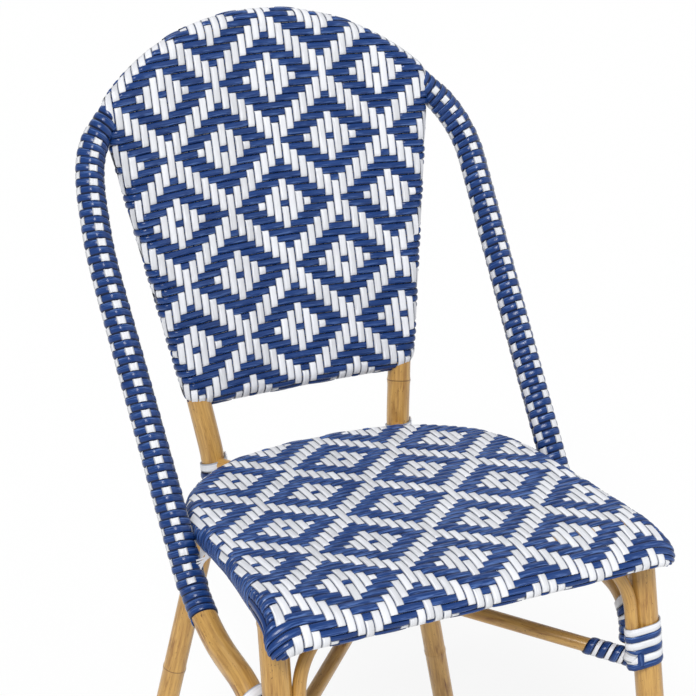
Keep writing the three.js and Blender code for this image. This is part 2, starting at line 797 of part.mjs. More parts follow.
// Pieces of the two sides
for (const [side, bars, other] of [["right", right, left], ["left", left, right]]) {
  const { sign, rearLeg, frontLeg, loop, archAndLoop, cornerBrace, stretcher } = bars;
  const [legFrame] = frontLeg.stations;
  const braceStep = at(sign * braceOut, -braceAhead, 0);
  const boundPair = [
    { x: 0, y: 0, radius: tubeRadius },
    { x: braceStep.dot(legFrame.across), y: braceStep.dot(legFrame.lift), radius: braceRadius },
  ];
  const tubeAlone = [{ x: 0, y: 0, radius: tubeRadius }];
  const stretcherAlone = [{ x: 0, y: 0, radius: stretcherRadius }];
  const jointStart = distanceAtHeight(frontLeg.stations, seatHeight - jointStrapTopDrop);
  const jointEnd = jointStart + (jointStrapTurns + 2) * jointStrapPitch;
  const jointSpace = beltPrism(frontLeg.stations, boundPair, jointStart - jointStrapPitch, jointEnd);
  const loopEnd = loop.stations.at(-1).travelled;
  const weaveInner = tubeRadius + fitGap;
  const weaveOuter = weaveInner + loopWeaveThickness;
  const weaveEnd = distanceAtHeight(loop.stations, seatHeight - loopWeaveEndDrop);
  const weavePath = partOfPath(loop.stations, fitGap, weaveEnd);

  add(`${side}_rear_leg`, cut(solid(rearLeg), clearing(archAndLoop)), bambooPaint);
  add(`${side}_front_leg`, cut(solid(frontLeg), rimClearing), bambooPaint);
  add(`${side}_outer_loop`, solid(loop), bambooPaint);
  add(
    `${side}_loop_weave`,
    cut(sleeve(weavePath, weaveInner, weaveOuter), panelPillow(backDepth + fitGap)),
    blueWeave,
  );
  add(`${side}_corner_brace`, cut(solid(cornerBrace), clearing(frontRail)), bambooPaint);
  add(`${side}_stretcher`, cut(solid(stretcher), jointSpace, clearing(other.rearLeg)), bambooPaint);
  add(
    `${side}_rear_stub`,
    cut(solid(stub(bars)), rimClearing, tube(rearLeg.stations, tubeRadius + strapStack)),
    bambooPaint,
  );
  add(
    `${side}_loop_tie`,
    cut(solid(tie(bars)), rimTube(rimRadius + fitGap), tube(loop.stations, weaveOuter + fitGap)),
    whiteWeave,
  );
  add(`${side}_rear_glide`, glide(...bars.rearGlideEnds), glidePlastic);
  add(`${side}_front_glide`, glide(...bars.frontGlideEnds), glidePlastic);

  addStraps(`${side}_joint`, frontLeg.stations, boundPair, {
    start: jointStart,
    turns: jointStrapTurns,
    pitch: jointStrapPitch,
    whiteWidth: jointStrapWidth,
    blueWidth: jointStrapWidth,
  });
  addStraps(`${side}_brace`, loop.stations, tubeAlone, {
    start: loopEnd - braceStrapRun,
    turns: braceStrapTurns,
    pitch: braceStrapPitch,
    whiteWidth: braceStrapWidth,
    blueWidth: braceStrapWidth,
  });
  addStraps(`${side}_stretcher`, stretcher.stations, stretcherAlone, {
    start: stretcherStrapStart,
    turns: stretcherStrapTurns,
    pitch: stretcherStrapPitch,
    whiteWidth: stretcherWhiteWidth,
    blueWidth: stretcherBlueWidth,
  });
  addStraps(`${side}_collar`, rearLeg.stations, tubeAlone, {
    start: distanceAtHeight(rearLeg.stations, seatHeight - collarDrop),
    turns: collarStrapTurns,
    pitch: collarStrapPitch,
    whiteWidth: collarStrapWidth,
    blueWidth: collarStrapWidth,
  });
}

// Origin on the floor, under the middle of the chair
const box = new THREE.Box3().setFromObject(chair);
const middle = box.getCenter(at(0, 0, 0));
chair.position.set(-middle.x, -middle.y, -box.min.z);

export default chair;
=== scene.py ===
import math
from functools import cache, partial

import bmesh
import bpy
import numpy as np
from mathutils import Matrix, Vector


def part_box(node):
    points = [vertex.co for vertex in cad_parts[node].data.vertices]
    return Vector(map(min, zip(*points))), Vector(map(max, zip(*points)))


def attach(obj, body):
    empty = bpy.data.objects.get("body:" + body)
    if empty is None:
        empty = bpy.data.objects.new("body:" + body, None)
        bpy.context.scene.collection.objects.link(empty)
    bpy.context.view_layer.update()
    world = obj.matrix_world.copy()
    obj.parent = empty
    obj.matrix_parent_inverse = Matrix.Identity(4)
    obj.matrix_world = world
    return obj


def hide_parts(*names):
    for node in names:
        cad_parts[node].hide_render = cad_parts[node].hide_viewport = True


bl_info = {
    "name": "Woven bistro chair",
    "version": (1, 0, 0),
    "blender": (4, 5, 0),
    "location": "View3D > Sidebar > Chair",
    "description": "Bent tubes painted like bamboo, woven seat and back, braided loops and wound joints",
    "category": "Object",
}

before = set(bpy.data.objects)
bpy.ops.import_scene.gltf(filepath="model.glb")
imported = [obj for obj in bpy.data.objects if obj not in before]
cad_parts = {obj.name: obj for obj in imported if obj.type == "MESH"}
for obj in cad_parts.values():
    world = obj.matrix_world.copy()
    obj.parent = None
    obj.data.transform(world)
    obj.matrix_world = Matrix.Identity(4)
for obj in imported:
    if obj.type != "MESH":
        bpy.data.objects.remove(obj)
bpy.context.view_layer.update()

MM = 0.001
FULL_TURN = 2 * math.pi
UP = np.array([0.0, 0.0, 1.0])
SIDES = {"right": 1, "left": -1}

# Sizes of the solids in millimetres, measured from the middle of the seat
TUBE_RADIUS = 12.5
RIM_TUBE_RADIUS = 13.0
BRACE_RADIUS = 6.5
STRETCHER_RADIUS = 7.0
CROSS_RAIL_RADIUS = 8.0
STUB_RADIUS = 7.0
FIT_GAP = 0.3
GLIDE_RADIUS = TUBE_RADIUS + FIT_GAP + 1.6
SEAT_WEAVE = 2.4
BACK_DEPTH = 15.2
LOOP_WEAVE_INNER = 12.8
LOOP_WEAVE = 1.7

# In the photo the cane of the front legs and of the stretchers is a little thicker than their solids
FRONT_LEG_CANE = 13.6
STRETCHER_CANE = 7.5
# Distance from the foot to the first ring of the cane
REAR_LEG_RING = {"right": 104, "left": 177}
# The left loop stands this much further in near its top
LEFT_LOOP_IN = 6.5
# How far the middle of a strap stands off its tube
STRAP_STAND = 1.1
# Fineness of the meshes: rings along a tube in millimetres, rings of a strap in one turn, and the angle in
# degrees from which an edge between two faces of a strand is sharp
RING_STEP = 3.0
WINDING_STEPS = 28
STRAND_SHARP = 50

SEAT_HEIGHT = 447.0
SEAT_HALF_WIDTH = 180.0
SEAT_REAR_REACH = 164.0
SEAT_FRONT_REACH = 205.0
SEAT_FRONT_HALF_WIDTH = 194.0
SEAT_REAR_POWER = 2.5
FRONT_RAIL_FORWARD = 156.0
REAR_RAIL_BACK = 70.0
RIM_RADIUS = RIM_TUBE_RADIUS + FIT_GAP + SEAT_WEAVE
RIM_HEIGHT = SEAT_HEIGHT - RIM_RADIUS

BACK_TILT = math.radians(12.2)
BACK_FACE_BEHIND = 184.5
BACK_CURVE_RADIUS = 1000.0
ARCH_RADIUS = 237.0
ARCH_TOP = 440.0
ARCH_CENTRE = ARCH_TOP - ARCH_RADIUS
PANEL_BOTTOM = 65.0
PANEL_BOTTOM_HALF_WIDTH = 120.0
PANEL_SIDE_SLOPE = 0.173
SHOULDER_ROUNDING = 14.0
PANEL_CORNER_ROUNDING = 6.0

REAR_FOOT = np.array([198.6, 253.5, 0.0])
REAR_WAIST = np.array([107.0, 191.0, 415.0])
WAIST_BEND_RADIUS = 150.0
FRONT_LEG_FORWARD = 158.0
FRONT_FOOT_STEP = (11.0, -51.0)
# The cane shows from the top of the foot cap on
FOOT_ABOVE = 11.0

# The loop runs straight out of the backrest, down beside the seat and then to the front leg
LOOP_LEAVES = 72
LOOP_BESIDE_SEAT = (30, 24.1, -22)
LOOP_STRAIGHT_DROP = 86
LOOP_BENDS = (110, 133, 51)
# Points beside the front leg: drop from the seat's top, and steps outwards and backwards from its axis
LOOP_KNEE = (105, 9.3, 29.4)
LOOP_END = (148, 3, 29.4)
STRETCHER_END = (165, 9.4, 11.7)
# The corner brace's foot and knee below the seat's top, and its top end inwards from the leg
BRACE_FOOT_DROP = 155
BRACE_KNEE_DROP = 62
BRACE_TOP_INWARDS = 77
BRACE_BEND = 70
# The stretchers cross behind the seat's middle, below its top, and rise to the rear legs
CROSSING_BACK = 42
CROSSING_DROP = 125
CROSSING_BEND = 80
STRETCHER_REAR_DROP = 100

# The woven front edge hangs lower than the rim's plane and its roll starts further back
WOVEN_FRONT = 189.5
WOVEN_CORNER = 4.0
ROLL_START = -150.0
ROLL_END = -204.0
ROLL_DEPTH = 15.0

# Column pitch, place of row 0 and row step of the two weaves, counted and measured in the photo
BACK_GRID = (8.73, 381.8, -7.40)
SEAT_GRID = (8.48, -157.3, 7.15)
# Beyond this the seat's lengthwise strands are blue and close its sides
SIDE_BAND = SEAT_FRONT_HALF_WIDTH + 12
# Strands are cut this far past the end of their wrap, and a bow this wide, in metres, is flat
CUT_SPARE = 3.5
FLAT_BOW = 1000.0

# Lengthwise white strips of the loops, in degrees round the tube from the one seen from the front
LOOP_STRIPS = {"right": (0, 88, 150, 210, 270), "left": (0, 78, 175, 235, 295)}
# Angle of that strip at the loop's start, and its twist with each turn of the strap, in degrees
LOOP_FIRST_STRIP = {"right": 184.0, "left": -97.0}
LOOP_TWIST = {"right": -0.7, "left": 0.35}
# Distance along the loop at some turns of its strap: the rings crowd near the backrest
LOOP_TURNS = {
    "right": ((0, 5.2, 7.2, 9.2, 13.2, 19.2, 27.2, 35.2, 43.2, 55.2, 64),
              (3, 45, 58.5, 73.5, 107.5, 156, 224, 291, 358, 457, 526)),
    "left": ((0, 3.65, 5.65, 9.65, 13.65, 21.65, 29.65, 37.65, 45.65, 53.65, 61.65, 67),
             (6, 37, 50.8, 80.5, 112.5, 177, 243, 307.5, 370.7, 432.8, 493.5, 535)),
}
# Turns at the start and at the end that show no strip
PLAIN_RINGS = 3
LOOP_PLAIN_END = 4
# The loops' sideways direction where they leave the backrest
LOOP_SIDE_WAY = (0, math.cos(BACK_TILT), -math.sin(BACK_TILT))

# The chair's origin is under the middle of its whole box, so the seat's middle lies a little off it
SEAT_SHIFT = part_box("seat_rim")[1].y / MM - (SEAT_REAR_REACH + RIM_TUBE_RADIUS)


def metres(points):
    """Points in the seat's millimetres as metres in the chair's frame."""
    return (np.asarray(points, float) + np.array([0.0, SEAT_SHIFT, 0.0])) * MM


def unit(vector):
    return vector / np.linalg.norm(vector)


def ramp(values, start, end):
    """0 up to start and 1 from end on, which may be the lower of the two."""
    return np.clip((values - start) / (end - start), 0, 1)


def linear(hex_colour):
    """An sRGB hex colour as linear RGBA."""
    parts = [int(hex_colour[i:i + 2], 16) / 255 for i in (1, 3, 5)]
    return *(c / 12.92 if c <= 0.04045 else ((c + 0.055) / 1.055) ** 2.4 for c in parts), 1.0


# Paths of the tubes

def mirrored(path, sign):
    return path * np.array([sign, 1, 1])


def bend(before, corner, after, radius, steps=None):
    """Points of the round bend in place of a corner, 4 degrees apart unless their number is given."""
    into, out = unit(corner - before), unit(after - corner)
    angle = math.acos(min(1.0, float(into @ out)))
    inward = unit(out - into * float(out @ into))
    centre = corner - into * radius * math.tan(angle / 2) + inward * radius
    steps = steps or max(2, math.ceil(angle / math.radians(4)))
    turns = [angle * k / steps for k in range(steps + 1)]
    return [centre + radius * (into * math.sin(turn) - inward * math.cos(turn)) for turn in turns]


def bent_path(corners, radii):
    """Straight runs joined by round bends."""
    corners = [np.asarray(corner, float) for corner in corners]
    points = [corners[0]]
    for before, corner, after, radius in zip(corners, corners[1:], corners[2:], radii):
        points += bend(before, corner, after, radius)
    return np.array([*points, corners[-1]])


def rim_half_width(y):
    if y > 0:
        share = min(1.0, y / SEAT_REAR_REACH)
        return SEAT_HALF_WIDTH * (1 - share ** SEAT_REAR_POWER) ** (1 / SEAT_REAR_POWER)
    return SEAT_HALF_WIDTH + (SEAT_FRONT_HALF_WIDTH - SEAT_HALF_WIDTH) * (-y / SEAT_FRONT_REACH)


def rim_plan(rear_steps=64, corner_steps=8):
    """The woven rim's centre line seen from above, right side first, then the rear."""
    plan, radius = [], WOVEN_CORNER
    for i in range(rear_steps + 1):
        angle = math.pi * i / rear_steps
        c, s = math.cos(angle), math.sin(angle)
        x = math.copysign(SEAT_HALF_WIDTH * abs(c) ** (2 / SEAT_REAR_POWER), c)
        plan.append((x, SEAT_REAR_REACH * abs(s) ** (2 / SEAT_REAR_POWER)))
    corner_y = radius - WOVEN_FRONT
    corner_x = rim_half_width(corner_y) - radius
    corners = [(corner_x + radius * math.cos(a), corner_y - radius * math.sin(a))
               for a in (math.pi / 2 * k / corner_steps for k in range(corner_steps + 1))]
    plan += [(-x, y) for x, y in corners] + corners[::-1]
    return np.array(plan)


def front_dip(points):
    """Lowers the seat towards its front edge, its underside half as much; points are in metres."""
    lowered = points / MM - np.array([0.0, SEAT_SHIFT, 0.0])
    x, y, z = lowered.T
    under = np.clip((SEAT_HEIGHT - z) / (2 * RIM_RADIUS), 0, 1)
    z -= ROLL_DEPTH * ramp(y, ROLL_START, ROLL_END) ** 1.6 * (1 - 0.5 * under)
    # The front hangs a little lower on the right than on the left
    across = x / 200
    z -= (4.5 + 6.7 * across - 3.8 * across ** 2) * ramp(y, -20, -160) * (1 - 0.5 * under)
    # The front edge hangs a little more towards the left, and the left skirt is drawn in
    z -= 2.5 * np.clip(-across, 0, 1) * ramp(y, -130, -180)
    x += 7 * under * ramp(x, -140, -200) * np.exp(-((y + 50) / 80) ** 2)
    # The two front corners are drawn out into blunt tips
    aside = np.sign(x)
    pull = np.exp(-(np.hypot(np.abs(x) - 207, y + 200) / 15) ** 2)
    lowered += np.column_stack([(4 - 1.5 * aside) * aside * pull, pull, -(7 - aside) * pull])
    return metres(lowered)


def on_back(across, up, depth=BACK_DEPTH):
    """Point of the backrest: width across, height along its slope, depth behind its front face."""
    radius = BACK_CURVE_RADIUS + depth
    behind = depth - radius * (1 - math.cos(across / radius))
    return np.array([
        radius * math.sin(across / radius),
        BACK_FACE_BEHIND + math.sin(BACK_TILT) * up + math.cos(BACK_TILT) * behind,
        SEAT_HEIGHT + math.cos(BACK_TILT) * up - math.sin(BACK_TILT) * behind,
    ])


def side_half_width(up):
    return PANEL_BOTTOM_HALF_WIDTH + PANEL_SIDE_SLOPE * (up - PANEL_BOTTOM)


def shoulder_height():
    """Where the arch meets the sloping side of the backrest."""
    offset = side_half_width(0)
    a = PANEL_SIDE_SLOPE ** 2 + 1
    b = 2 * (PANEL_SIDE_SLOPE * offset - ARCH_CENTRE)
    c = offset ** 2 + ARCH_CENTRE ** 2 - ARCH_RADIUS ** 2
    return (-b + math.sqrt(b * b - 4 * a * c)) / (2 * a)


SHOULDER_UP = shoulder_height()
SHOULDER_ANGLE = math.asin(side_half_width(SHOULDER_UP) / ARCH_RADIUS)


def arch_point(angle):
    return ARCH_RADIUS * math.sin(angle), ARCH_CENTRE + ARCH_RADIUS * math.cos(angle)


def panel_outline(steps=48, corner_steps=6):
    """Centre line of the backrest's tubes laid out flat, anticlockwise, with its corners rounded."""
    half = side_half_width(PANEL_BOTTOM)
    arch = [arch_point(SHOULDER_ANGLE * (1 - 2 * i / steps)) for i in range(steps + 1)]
    loop = np.array([(-half, PANEL_BOTTOM), (half, PANEL_BOTTOM), *arch])
    radii = {0: PANEL_CORNER_ROUNDING, 1: PANEL_CORNER_ROUNDING, 2: SHOULDER_ROUNDING,
             len(loop) - 1: SHOULDER_ROUNDING}
    rounded = []
    for i, corner in enumerate(loop):
        after = loop[(i + 1) % len(loop)]
        rounded += bend(loop[i - 1], corner, after, radii[i], corner_steps) if i in radii else [corner]
    return np.array([p for i, p in enumerate(rounded) if np.linalg.norm(p - rounded[i - 1]) > 0.5])


FRONT_LEG_TOP = np.array([rim_half_width(-FRONT_LEG_FORWARD) + 1, -FRONT_LEG_FORWARD, RIM_HEIGHT])
FRONT_FOOT = np.array([FRONT_LEG_TOP[0] + FRONT_FOOT_STEP[0], FRONT_LEG_TOP[1] + FRONT_FOOT_STEP[1], 0.0])


def beside_front_leg(drop, out, behind):
    """A point this much out and behind of the leg's axis, this far below the seat's top."""
    share = (drop - RIM_RADIUS) / RIM_HEIGHT
    return FRONT_LEG_TOP + (FRONT_FOOT - FRONT_LEG_TOP) * share + np.array([out, behind, 0.0])


def arch_path(steps=40):
    turns = (SHOULDER_ANGLE * (2 * i / steps - 1) for i in range(steps + 1))
    return np.array([on_back(*arch_point(turn)) for turn in turns])


def rear_leg_path():
    upright = [on_back(side_half_width(up), up) for up in np.linspace(PANEL_BOTTOM, SHOULDER_UP - 6, 30)]
    foot = REAR_FOOT + (REAR_WAIST - REAR_FOOT) * FOOT_ABOVE / REAR_WAIST[2]
    lower = bent_path([foot, REAR_WAIST, upright[0]], [WAIST_BEND_RADIUS])
    return np.vstack([lower, upright[1:]])


def front_leg_path():
    foot = FRONT_FOOT + (FRONT_LEG_TOP - FRONT_FOOT) * FOOT_ABOVE / RIM_HEIGHT
    return np.linspace(FRONT_LEG_TOP - np.array([0, 0, 4.0]), foot, 12)


def loop_path():
    shoulder = on_back(*arch_point(SHOULDER_ANGLE))
    leaving = unit(shoulder - on_back(*arch_point(SHOULDER_ANGLE - 0.0006)))
    upper = shoulder + leaving * LOOP_LEAVES
    out, y, above = LOOP_BESIDE_SEAT
    beside_seat = np.array([rim_half_width(y) + out, y, SEAT_HEIGHT + above])
    fall = (upper[2] - SEAT_HEIGHT + LOOP_STRAIGHT_DROP) / (upper[2] - beside_seat[2])
    lower = upper + (beside_seat - upper) * fall
    knee, end = beside_front_leg(*LOOP_KNEE), beside_front_leg(*LOOP_END)
    return bent_path([shoulder, upper, lower, knee, end], LOOP_BENDS)


BRACE_OFFSET = TUBE_RADIUS + BRACE_RADIUS + FIT_GAP
BRACE_OUT = -BRACE_OFFSET * 0.96
BRACE_BEHIND = -math.sqrt(BRACE_OFFSET ** 2 - BRACE_OUT ** 2)


def corner_brace_path():
    foot, knee = (beside_front_leg(drop, BRACE_OUT, BRACE_BEHIND)
                  for drop in (BRACE_FOOT_DROP, BRACE_KNEE_DROP))
    top = (FRONT_LEG_TOP[0] - BRACE_TOP_INWARDS, -FRONT_RAIL_FORWARD, RIM_HEIGHT)
    return bent_path([foot, knee, top], [BRACE_BEND])


def stretcher_path(sign):
    """The stretcher that starts at the front leg of this side and crosses over or under the other."""
    front = mirrored(beside_front_leg(*STRETCHER_END), sign)
    crossing = (0, CROSSING_BACK, SEAT_HEIGHT - CROSSING_DROP + sign * (STRETCHER_RADIUS + 0.5))
    rear = REAR_FOOT + (REAR_WAIST - REAR_FOOT) * (SEAT_HEIGHT - STRETCHER_REAR_DROP) / REAR_WAIST[2]
    return bent_path([front, crossing, mirrored(rear, -sign)], [CROSSING_BEND])


def height_point(path, height):
    """Distance along a path, and the point there, where it first comes down or up to a height."""
    z = path[:, 2] - height
    i = int(np.nonzero(z[:-1] * z[1:] <= 0)[0][0])
    share = z[i] / (z[i] - z[i + 1])
    steps = np.linalg.norm(np.diff(path, axis=0), axis=1)
    return steps[:i].sum() + share * steps[i], path[i] + (path[i + 1] - path[i]) * share


def stub_path():
    upright = height_point(rear_leg_path(), RIM_HEIGHT)[1]
    plan = rim_plan()
    ring = np.column_stack([plan, np.full(len(plan), RIM_HEIGHT)])
    nearest = ring[np.argmin(np.linalg.norm(ring - upright, axis=1))]
    return np.linspace(nearest, upright, 6)


# Meshes and node trees

MATH = "ShaderNodeMath"
VECTOR_MATH = "ShaderNodeVectorMath"
NOISE = "ShaderNodeTexNoise"
MIX = "ShaderNodeMix"
MAP_RANGE = "ShaderNodeMapRange"
SPLIT = "ShaderNodeSeparateXYZ"
STORE = "GeometryNodeStoreNamedAttribute"
READ = "GeometryNodeInputNamedAttribute"


def add_node(tree, kind, inputs=(), **settings):
    """Adds a node with its settings, and its values or links in order or by socket name.

    A node that is given as a value stands for its first output.
    """
    node = tree.nodes.new(kind)
    for name, value in settings.items():
        setattr(node, name, value)
    for key, value in inputs.items() if isinstance(inputs, dict) else enumerate(inputs):
        if isinstance(value, bpy.types.Node):
            value = value.outputs[0]
        if isinstance(value, bpy.types.NodeSocket):
            tree.links.new(value, node.inputs[key])
        else:
            node.inputs[key].default_value = value
    return node


def new_tree(name, inputs):
    """A tree with named inputs, what adds a node to it, and what it is given."""
    tree = bpy.data.node_groups.new(name, "GeometryNodeTree")
    tree.interface.new_socket("Geometry", in_out="INPUT", socket_type="NodeSocketGeometry")
    for label, kind in inputs.items():
        tree.interface.new_socket(label, in_out="INPUT", socket_type=f"NodeSocket{kind}")
    tree.interface.new_socket("Geometry", in_out="OUTPUT", socket_type="NodeSocketGeometry")
    node = partial(add_node, tree)
    return tree, node, node("NodeGroupInput").outputs


def end_tree(node, geometry, material):
    """Smooth shading, real geometry and the material at the end of a tree."""
    smooth = node("GeometryNodeSetShadeSmooth", {"Geometry": geometry})
    real = node("GeometryNodeRealizeInstances", {"Geometry": smooth})
    dressed = node("GeometryNodeSetMaterial", {"Geometry": real, "Material": material})
    node("NodeGroupOutput", (dressed,))


@cache
def sweep_tree():
    """Sweeps a round tube along a path and raises the rings of a bamboo cane on it."""
    tree, node, given = new_tree("sweep_tube", {
        "Tube Radius": "Float", "Node Spacing": "Float", "Node Start": "Float", "Node Reach": "Float",
        "Node Swell": "Float", "Ring Step": "Float", "Sides": "Int", "Material": "Material",
    })
    curve = node("GeometryNodeMeshToCurve", {"Mesh": given["Geometry"]})
    even = node("GeometryNodeResampleCurve", {"Curve": curve, "Length": given["Ring Step"]}, mode="LENGTH")
    along = node("GeometryNodeSplineParameter").outputs["Length"]
    from_start = node(MATH, (along, given["Node Start"]), operation="SUBTRACT")
    half = node(MATH, (given["Node Spacing"], 0.5), operation="MULTIPLY")
    away = node(MATH, (from_start, half), operation="PINGPONG")
    knot = node(MAP_RANGE, (away, 0.0, given["Node Reach"], 1.0, 0.0), interpolation_type="SMOOTHSTEP")
    swell = node(MATH, (knot, given["Node Swell"], 1.0), operation="MULTIPLY_ADD")
    with_along = node(STORE, {"Geometry": even, "Name": "along", "Value": along})
    with_knot = node(STORE, {"Geometry": with_along, "Name": "knot", "Value": knot})
    circle = node("GeometryNodeCurvePrimitiveCircle",
                  {"Resolution": given["Sides"], "Radius": given["Tube Radius"]})
    place = node("GeometryNodeInputPosition")
    profile = node(STORE, {"Geometry": circle, "Name": "round", "Value": place}, data_type="FLOAT_VECTOR")
    swept_tube = node("GeometryNodeCurveToMesh", {
        "Curve": with_knot, "Profile Curve": profile, "Scale": swell, "Fill Caps": True,
    })
    around = node(SPLIT, (node(READ, {"Name": "round"}, data_type="FLOAT_VECTOR"),)).outputs
    grain = node("ShaderNodeCombineXYZ", (node(READ, {"Name": "along"}), around[0], around[1]))
    stored = node(STORE, {"Geometry": swept_tube, "Name": "grain", "Value": grain}, data_type="FLOAT_VECTOR")
    end_tree(node, stored, given["Material"])
    return tree


@cache
def wrap_tree():
    """Stretches flat strands over a frame: level inside its outline, and round its edge tube outside."""
    tree, node, given = new_tree("wrap_on_frame", {
        "Outline": "Object", "Edge Radius": "Float", "Edge Reach": "Float", "Spare": "Float",
        "Bow Radius": "Float", "Rear Face": "Bool", "Lean": "Vector", "Place": "Vector",
        "Material": "Material",
    })
    position = node("GeometryNodeInputPosition")
    height = node(SPLIT, (position,)).outputs[2]
    level = node(VECTOR_MATH, (position, (1, 1, 0)), operation="MULTIPLY")
    outline = node("GeometryNodeObjectInfo", {"Object": given["Outline"]}).outputs["Geometry"]
    near = node("GeometryNodeProximity", {"Geometry": outline, "Sample Position": level},
                target_element="FACES").outputs
    limit = node(MATH, (given["Edge Reach"], given["Spare"]), operation="ADD")
    outside = node(MATH, (near["Distance"], limit), operation="GREATER_THAN")
    kept = node("GeometryNodeDeleteGeometry", {"Geometry": given["Geometry"], "Selection": outside},
                domain="POINT")
    # Outside the outline the cloth turns round the edge tube, as far as its distance reaches
    away = node(VECTOR_MATH, (level, near["Position"]), operation="SUBTRACT")
    outward = node(VECTOR_MATH, (away,), operation="NORMALIZE")
    reach = node(MATH, (near["Distance"], given["Edge Reach"]), operation="MINIMUM")
    turn = node(MATH, (reach, given["Edge Radius"]), operation="DIVIDE")
    radius = node(MATH, (given["Edge Radius"], height), operation="ADD")
    out, rise = (
        node(MATH, (radius, node(MATH, (turn,), operation=wave)), operation="MULTIPLY")
        for wave in ("SINE", "COSINE")
    )
    spread = node(VECTOR_MATH, {0: outward, "Scale": out}, operation="SCALE")
    moved = node(VECTOR_MATH, (spread, near["Position"]), operation="ADD")
    front, rear = (node(MATH, (given["Edge Radius"], rise), operation=way) for way in ("SUBTRACT", "ADD"))
    depth = node("GeometryNodeSwitch", {"Switch": given["Rear Face"], "False": front, "True": rear},
                 input_type="FLOAT")
    # The flat cloth is bowed about an upright axis: x is the bow's sine, z its depth of arc
    parts = node(SPLIT, (moved,)).outputs
    bow = node(MATH, (given["Bow Radius"], depth), operation="ADD")
    angle = node(MATH, (parts[0], bow), operation="DIVIDE")
    x = node(MATH, (bow, node(MATH, (angle,), operation="SINE")), operation="MULTIPLY")
    half = node(MATH, (angle, 0.5), operation="MULTIPLY")
    half_sine = node(MATH, (half,), operation="SINE")
    square = node(MATH, (half_sine, half_sine), operation="MULTIPLY")
    double = node(MATH, (bow, 2.0), operation="MULTIPLY")
    forward = node(MATH, (double, square), operation="MULTIPLY")
    z = node(MATH, (forward, depth), operation="SUBTRACT")
    bent = node("ShaderNodeCombineXYZ", (x, parts[1], z))
    shaped = node("GeometryNodeSetPosition", {"Geometry": kept, "Position": bent})
    turned = node("GeometryNodeFlipFaces", {"Mesh": shaped, "Selection": given["Rear Face"]})
    placed = node("GeometryNodeTransform", {
        "Geometry": turned, "Translation": given["Place"], "Rotation": given["Lean"],
    })
    end_tree(node, placed, given["Material"])
    return tree


@cache
def roll_tree():
    """Rolls flat strands round a path: X runs along it, Y round it, and Z stands off its surface."""
    tree, node, given = new_tree("roll_round_path", {
        "Path": "Object", "Tube Radius": "Float", "Material": "Material",
    })
    parts = node(SPLIT, (node("GeometryNodeInputPosition"),)).outputs
    path = node("GeometryNodeObjectInfo", {"Object": given["Path"]}).outputs["Geometry"]
    curve = node("GeometryNodeMeshToCurve", {"Mesh": path})
    side = node(READ, {"Name": "side"}, data_type="FLOAT_VECTOR")
    there = node("GeometryNodeSampleCurve", {"Curves": curve, "Value": side, "Length": parts[0]},
                 mode="LENGTH", data_type="FLOAT_VECTOR").outputs
    lift = node(VECTOR_MATH, (there["Tangent"], there["Value"]), operation="CROSS_PRODUCT")
    straight = node(VECTOR_MATH, (lift,), operation="NORMALIZE")
    square = node(VECTOR_MATH, (straight, there["Tangent"]), operation="CROSS_PRODUCT")
    angle = node(MATH, (parts[1], given["Tube Radius"]), operation="DIVIDE")
    radius = node(MATH, (parts[2], given["Tube Radius"]), operation="ADD")
    place = there["Position"]
    for wave, way in (("COSINE", square), ("SINE", straight)):
        share = node(MATH, (angle,), operation=wave)
        reach = node(MATH, (radius, share), operation="MULTIPLY")
        step = node(VECTOR_MATH, {0: way, "Scale": reach}, operation="SCALE")
        place = node(VECTOR_MATH, (place, step), operation="ADD")
    laid = node("GeometryNodeSetPosition", {"Geometry": given["Geometry"], "Position": place})
    end_tree(node, laid, given["Material"])
    return tree


def mesh_object(name, points, edges=(), faces=()):
    mesh = bpy.data.meshes.new(name)
    mesh.from_pydata(np.asarray(points, float).tolist(), list(edges), list(faces))
    mesh.update()
    thing = bpy.data.objects.new(name, mesh)
    bpy.context.scene.collection.objects.link(thing)
    return thing


def store(mesh, name, vectors):
    """Keeps one vector for each point of a mesh."""
    mesh.attributes.new(name, "FLOAT_VECTOR", "POINT").data.foreach_set(
        "vector", np.asarray(vectors, np.float32).ravel())


def path_object(name, path, side=(1, 0, 0), closed=False):
    """A path as a line of edges that carries its own sideways direction."""
    points = metres(path)
    count = len(points)
    edges = [(i, i + 1) for i in range(count - 1)] + ([(count - 1, 0)] if closed else [])
    thing = mesh_object(name, points, edges)
    across, sides = np.asarray(side, float), []
    for i in range(count):
        along = unit(points[min(i + 1, count - 1)] - points[max(i - 1, 0)])
        across = unit(across - along * float(across @ along))
        sides.append(across)
    store(thing.data, "side", sides)
    return thing


def discard(*things):
    for thing in things:
        mesh = thing.data
        bpy.data.objects.remove(thing)
        bpy.data.meshes.remove(mesh)


def grown(source, tree, values, name, sharp_degrees):
    """Runs a node tree on a source object and returns its result as a plain mesh object."""
    modifier = source.modifiers.new(tree.name, "NODES")
    modifier.node_group = tree
    for item in tree.interface.items_tree:
        if item.in_out == "INPUT" and item.name in values:
            modifier[item.identifier] = values[item.name]
    bpy.context.view_layer.update()
    depsgraph = bpy.context.evaluated_depsgraph_get()
    mesh = bpy.data.meshes.new_from_object(
        source.evaluated_get(depsgraph), preserve_all_data_layers=True, depsgraph=depsgraph)
    source.modifiers.remove(modifier)
    if not mesh.polygons:
        raise RuntimeError(f"{name} came out empty")
    mesh.name = name
    mesh.set_sharp_from_angle(angle=math.radians(sharp_degrees))
    piece = bpy.data.objects.new(name, mesh)
    bpy.context.scene.collection.objects.link(piece)
    return piece


def close_ends(piece):
    """Closes the cut ends of strands."""
    shape = bmesh.new()
    shape.from_mesh(piece.data)
    open_edges = [edge for edge in shape.edges if edge.is_boundary]
    bmesh.ops.holes_fill(shape, edges=open_edges, sides=0)
    shape.to_mesh(piece.data)
    shape.free()


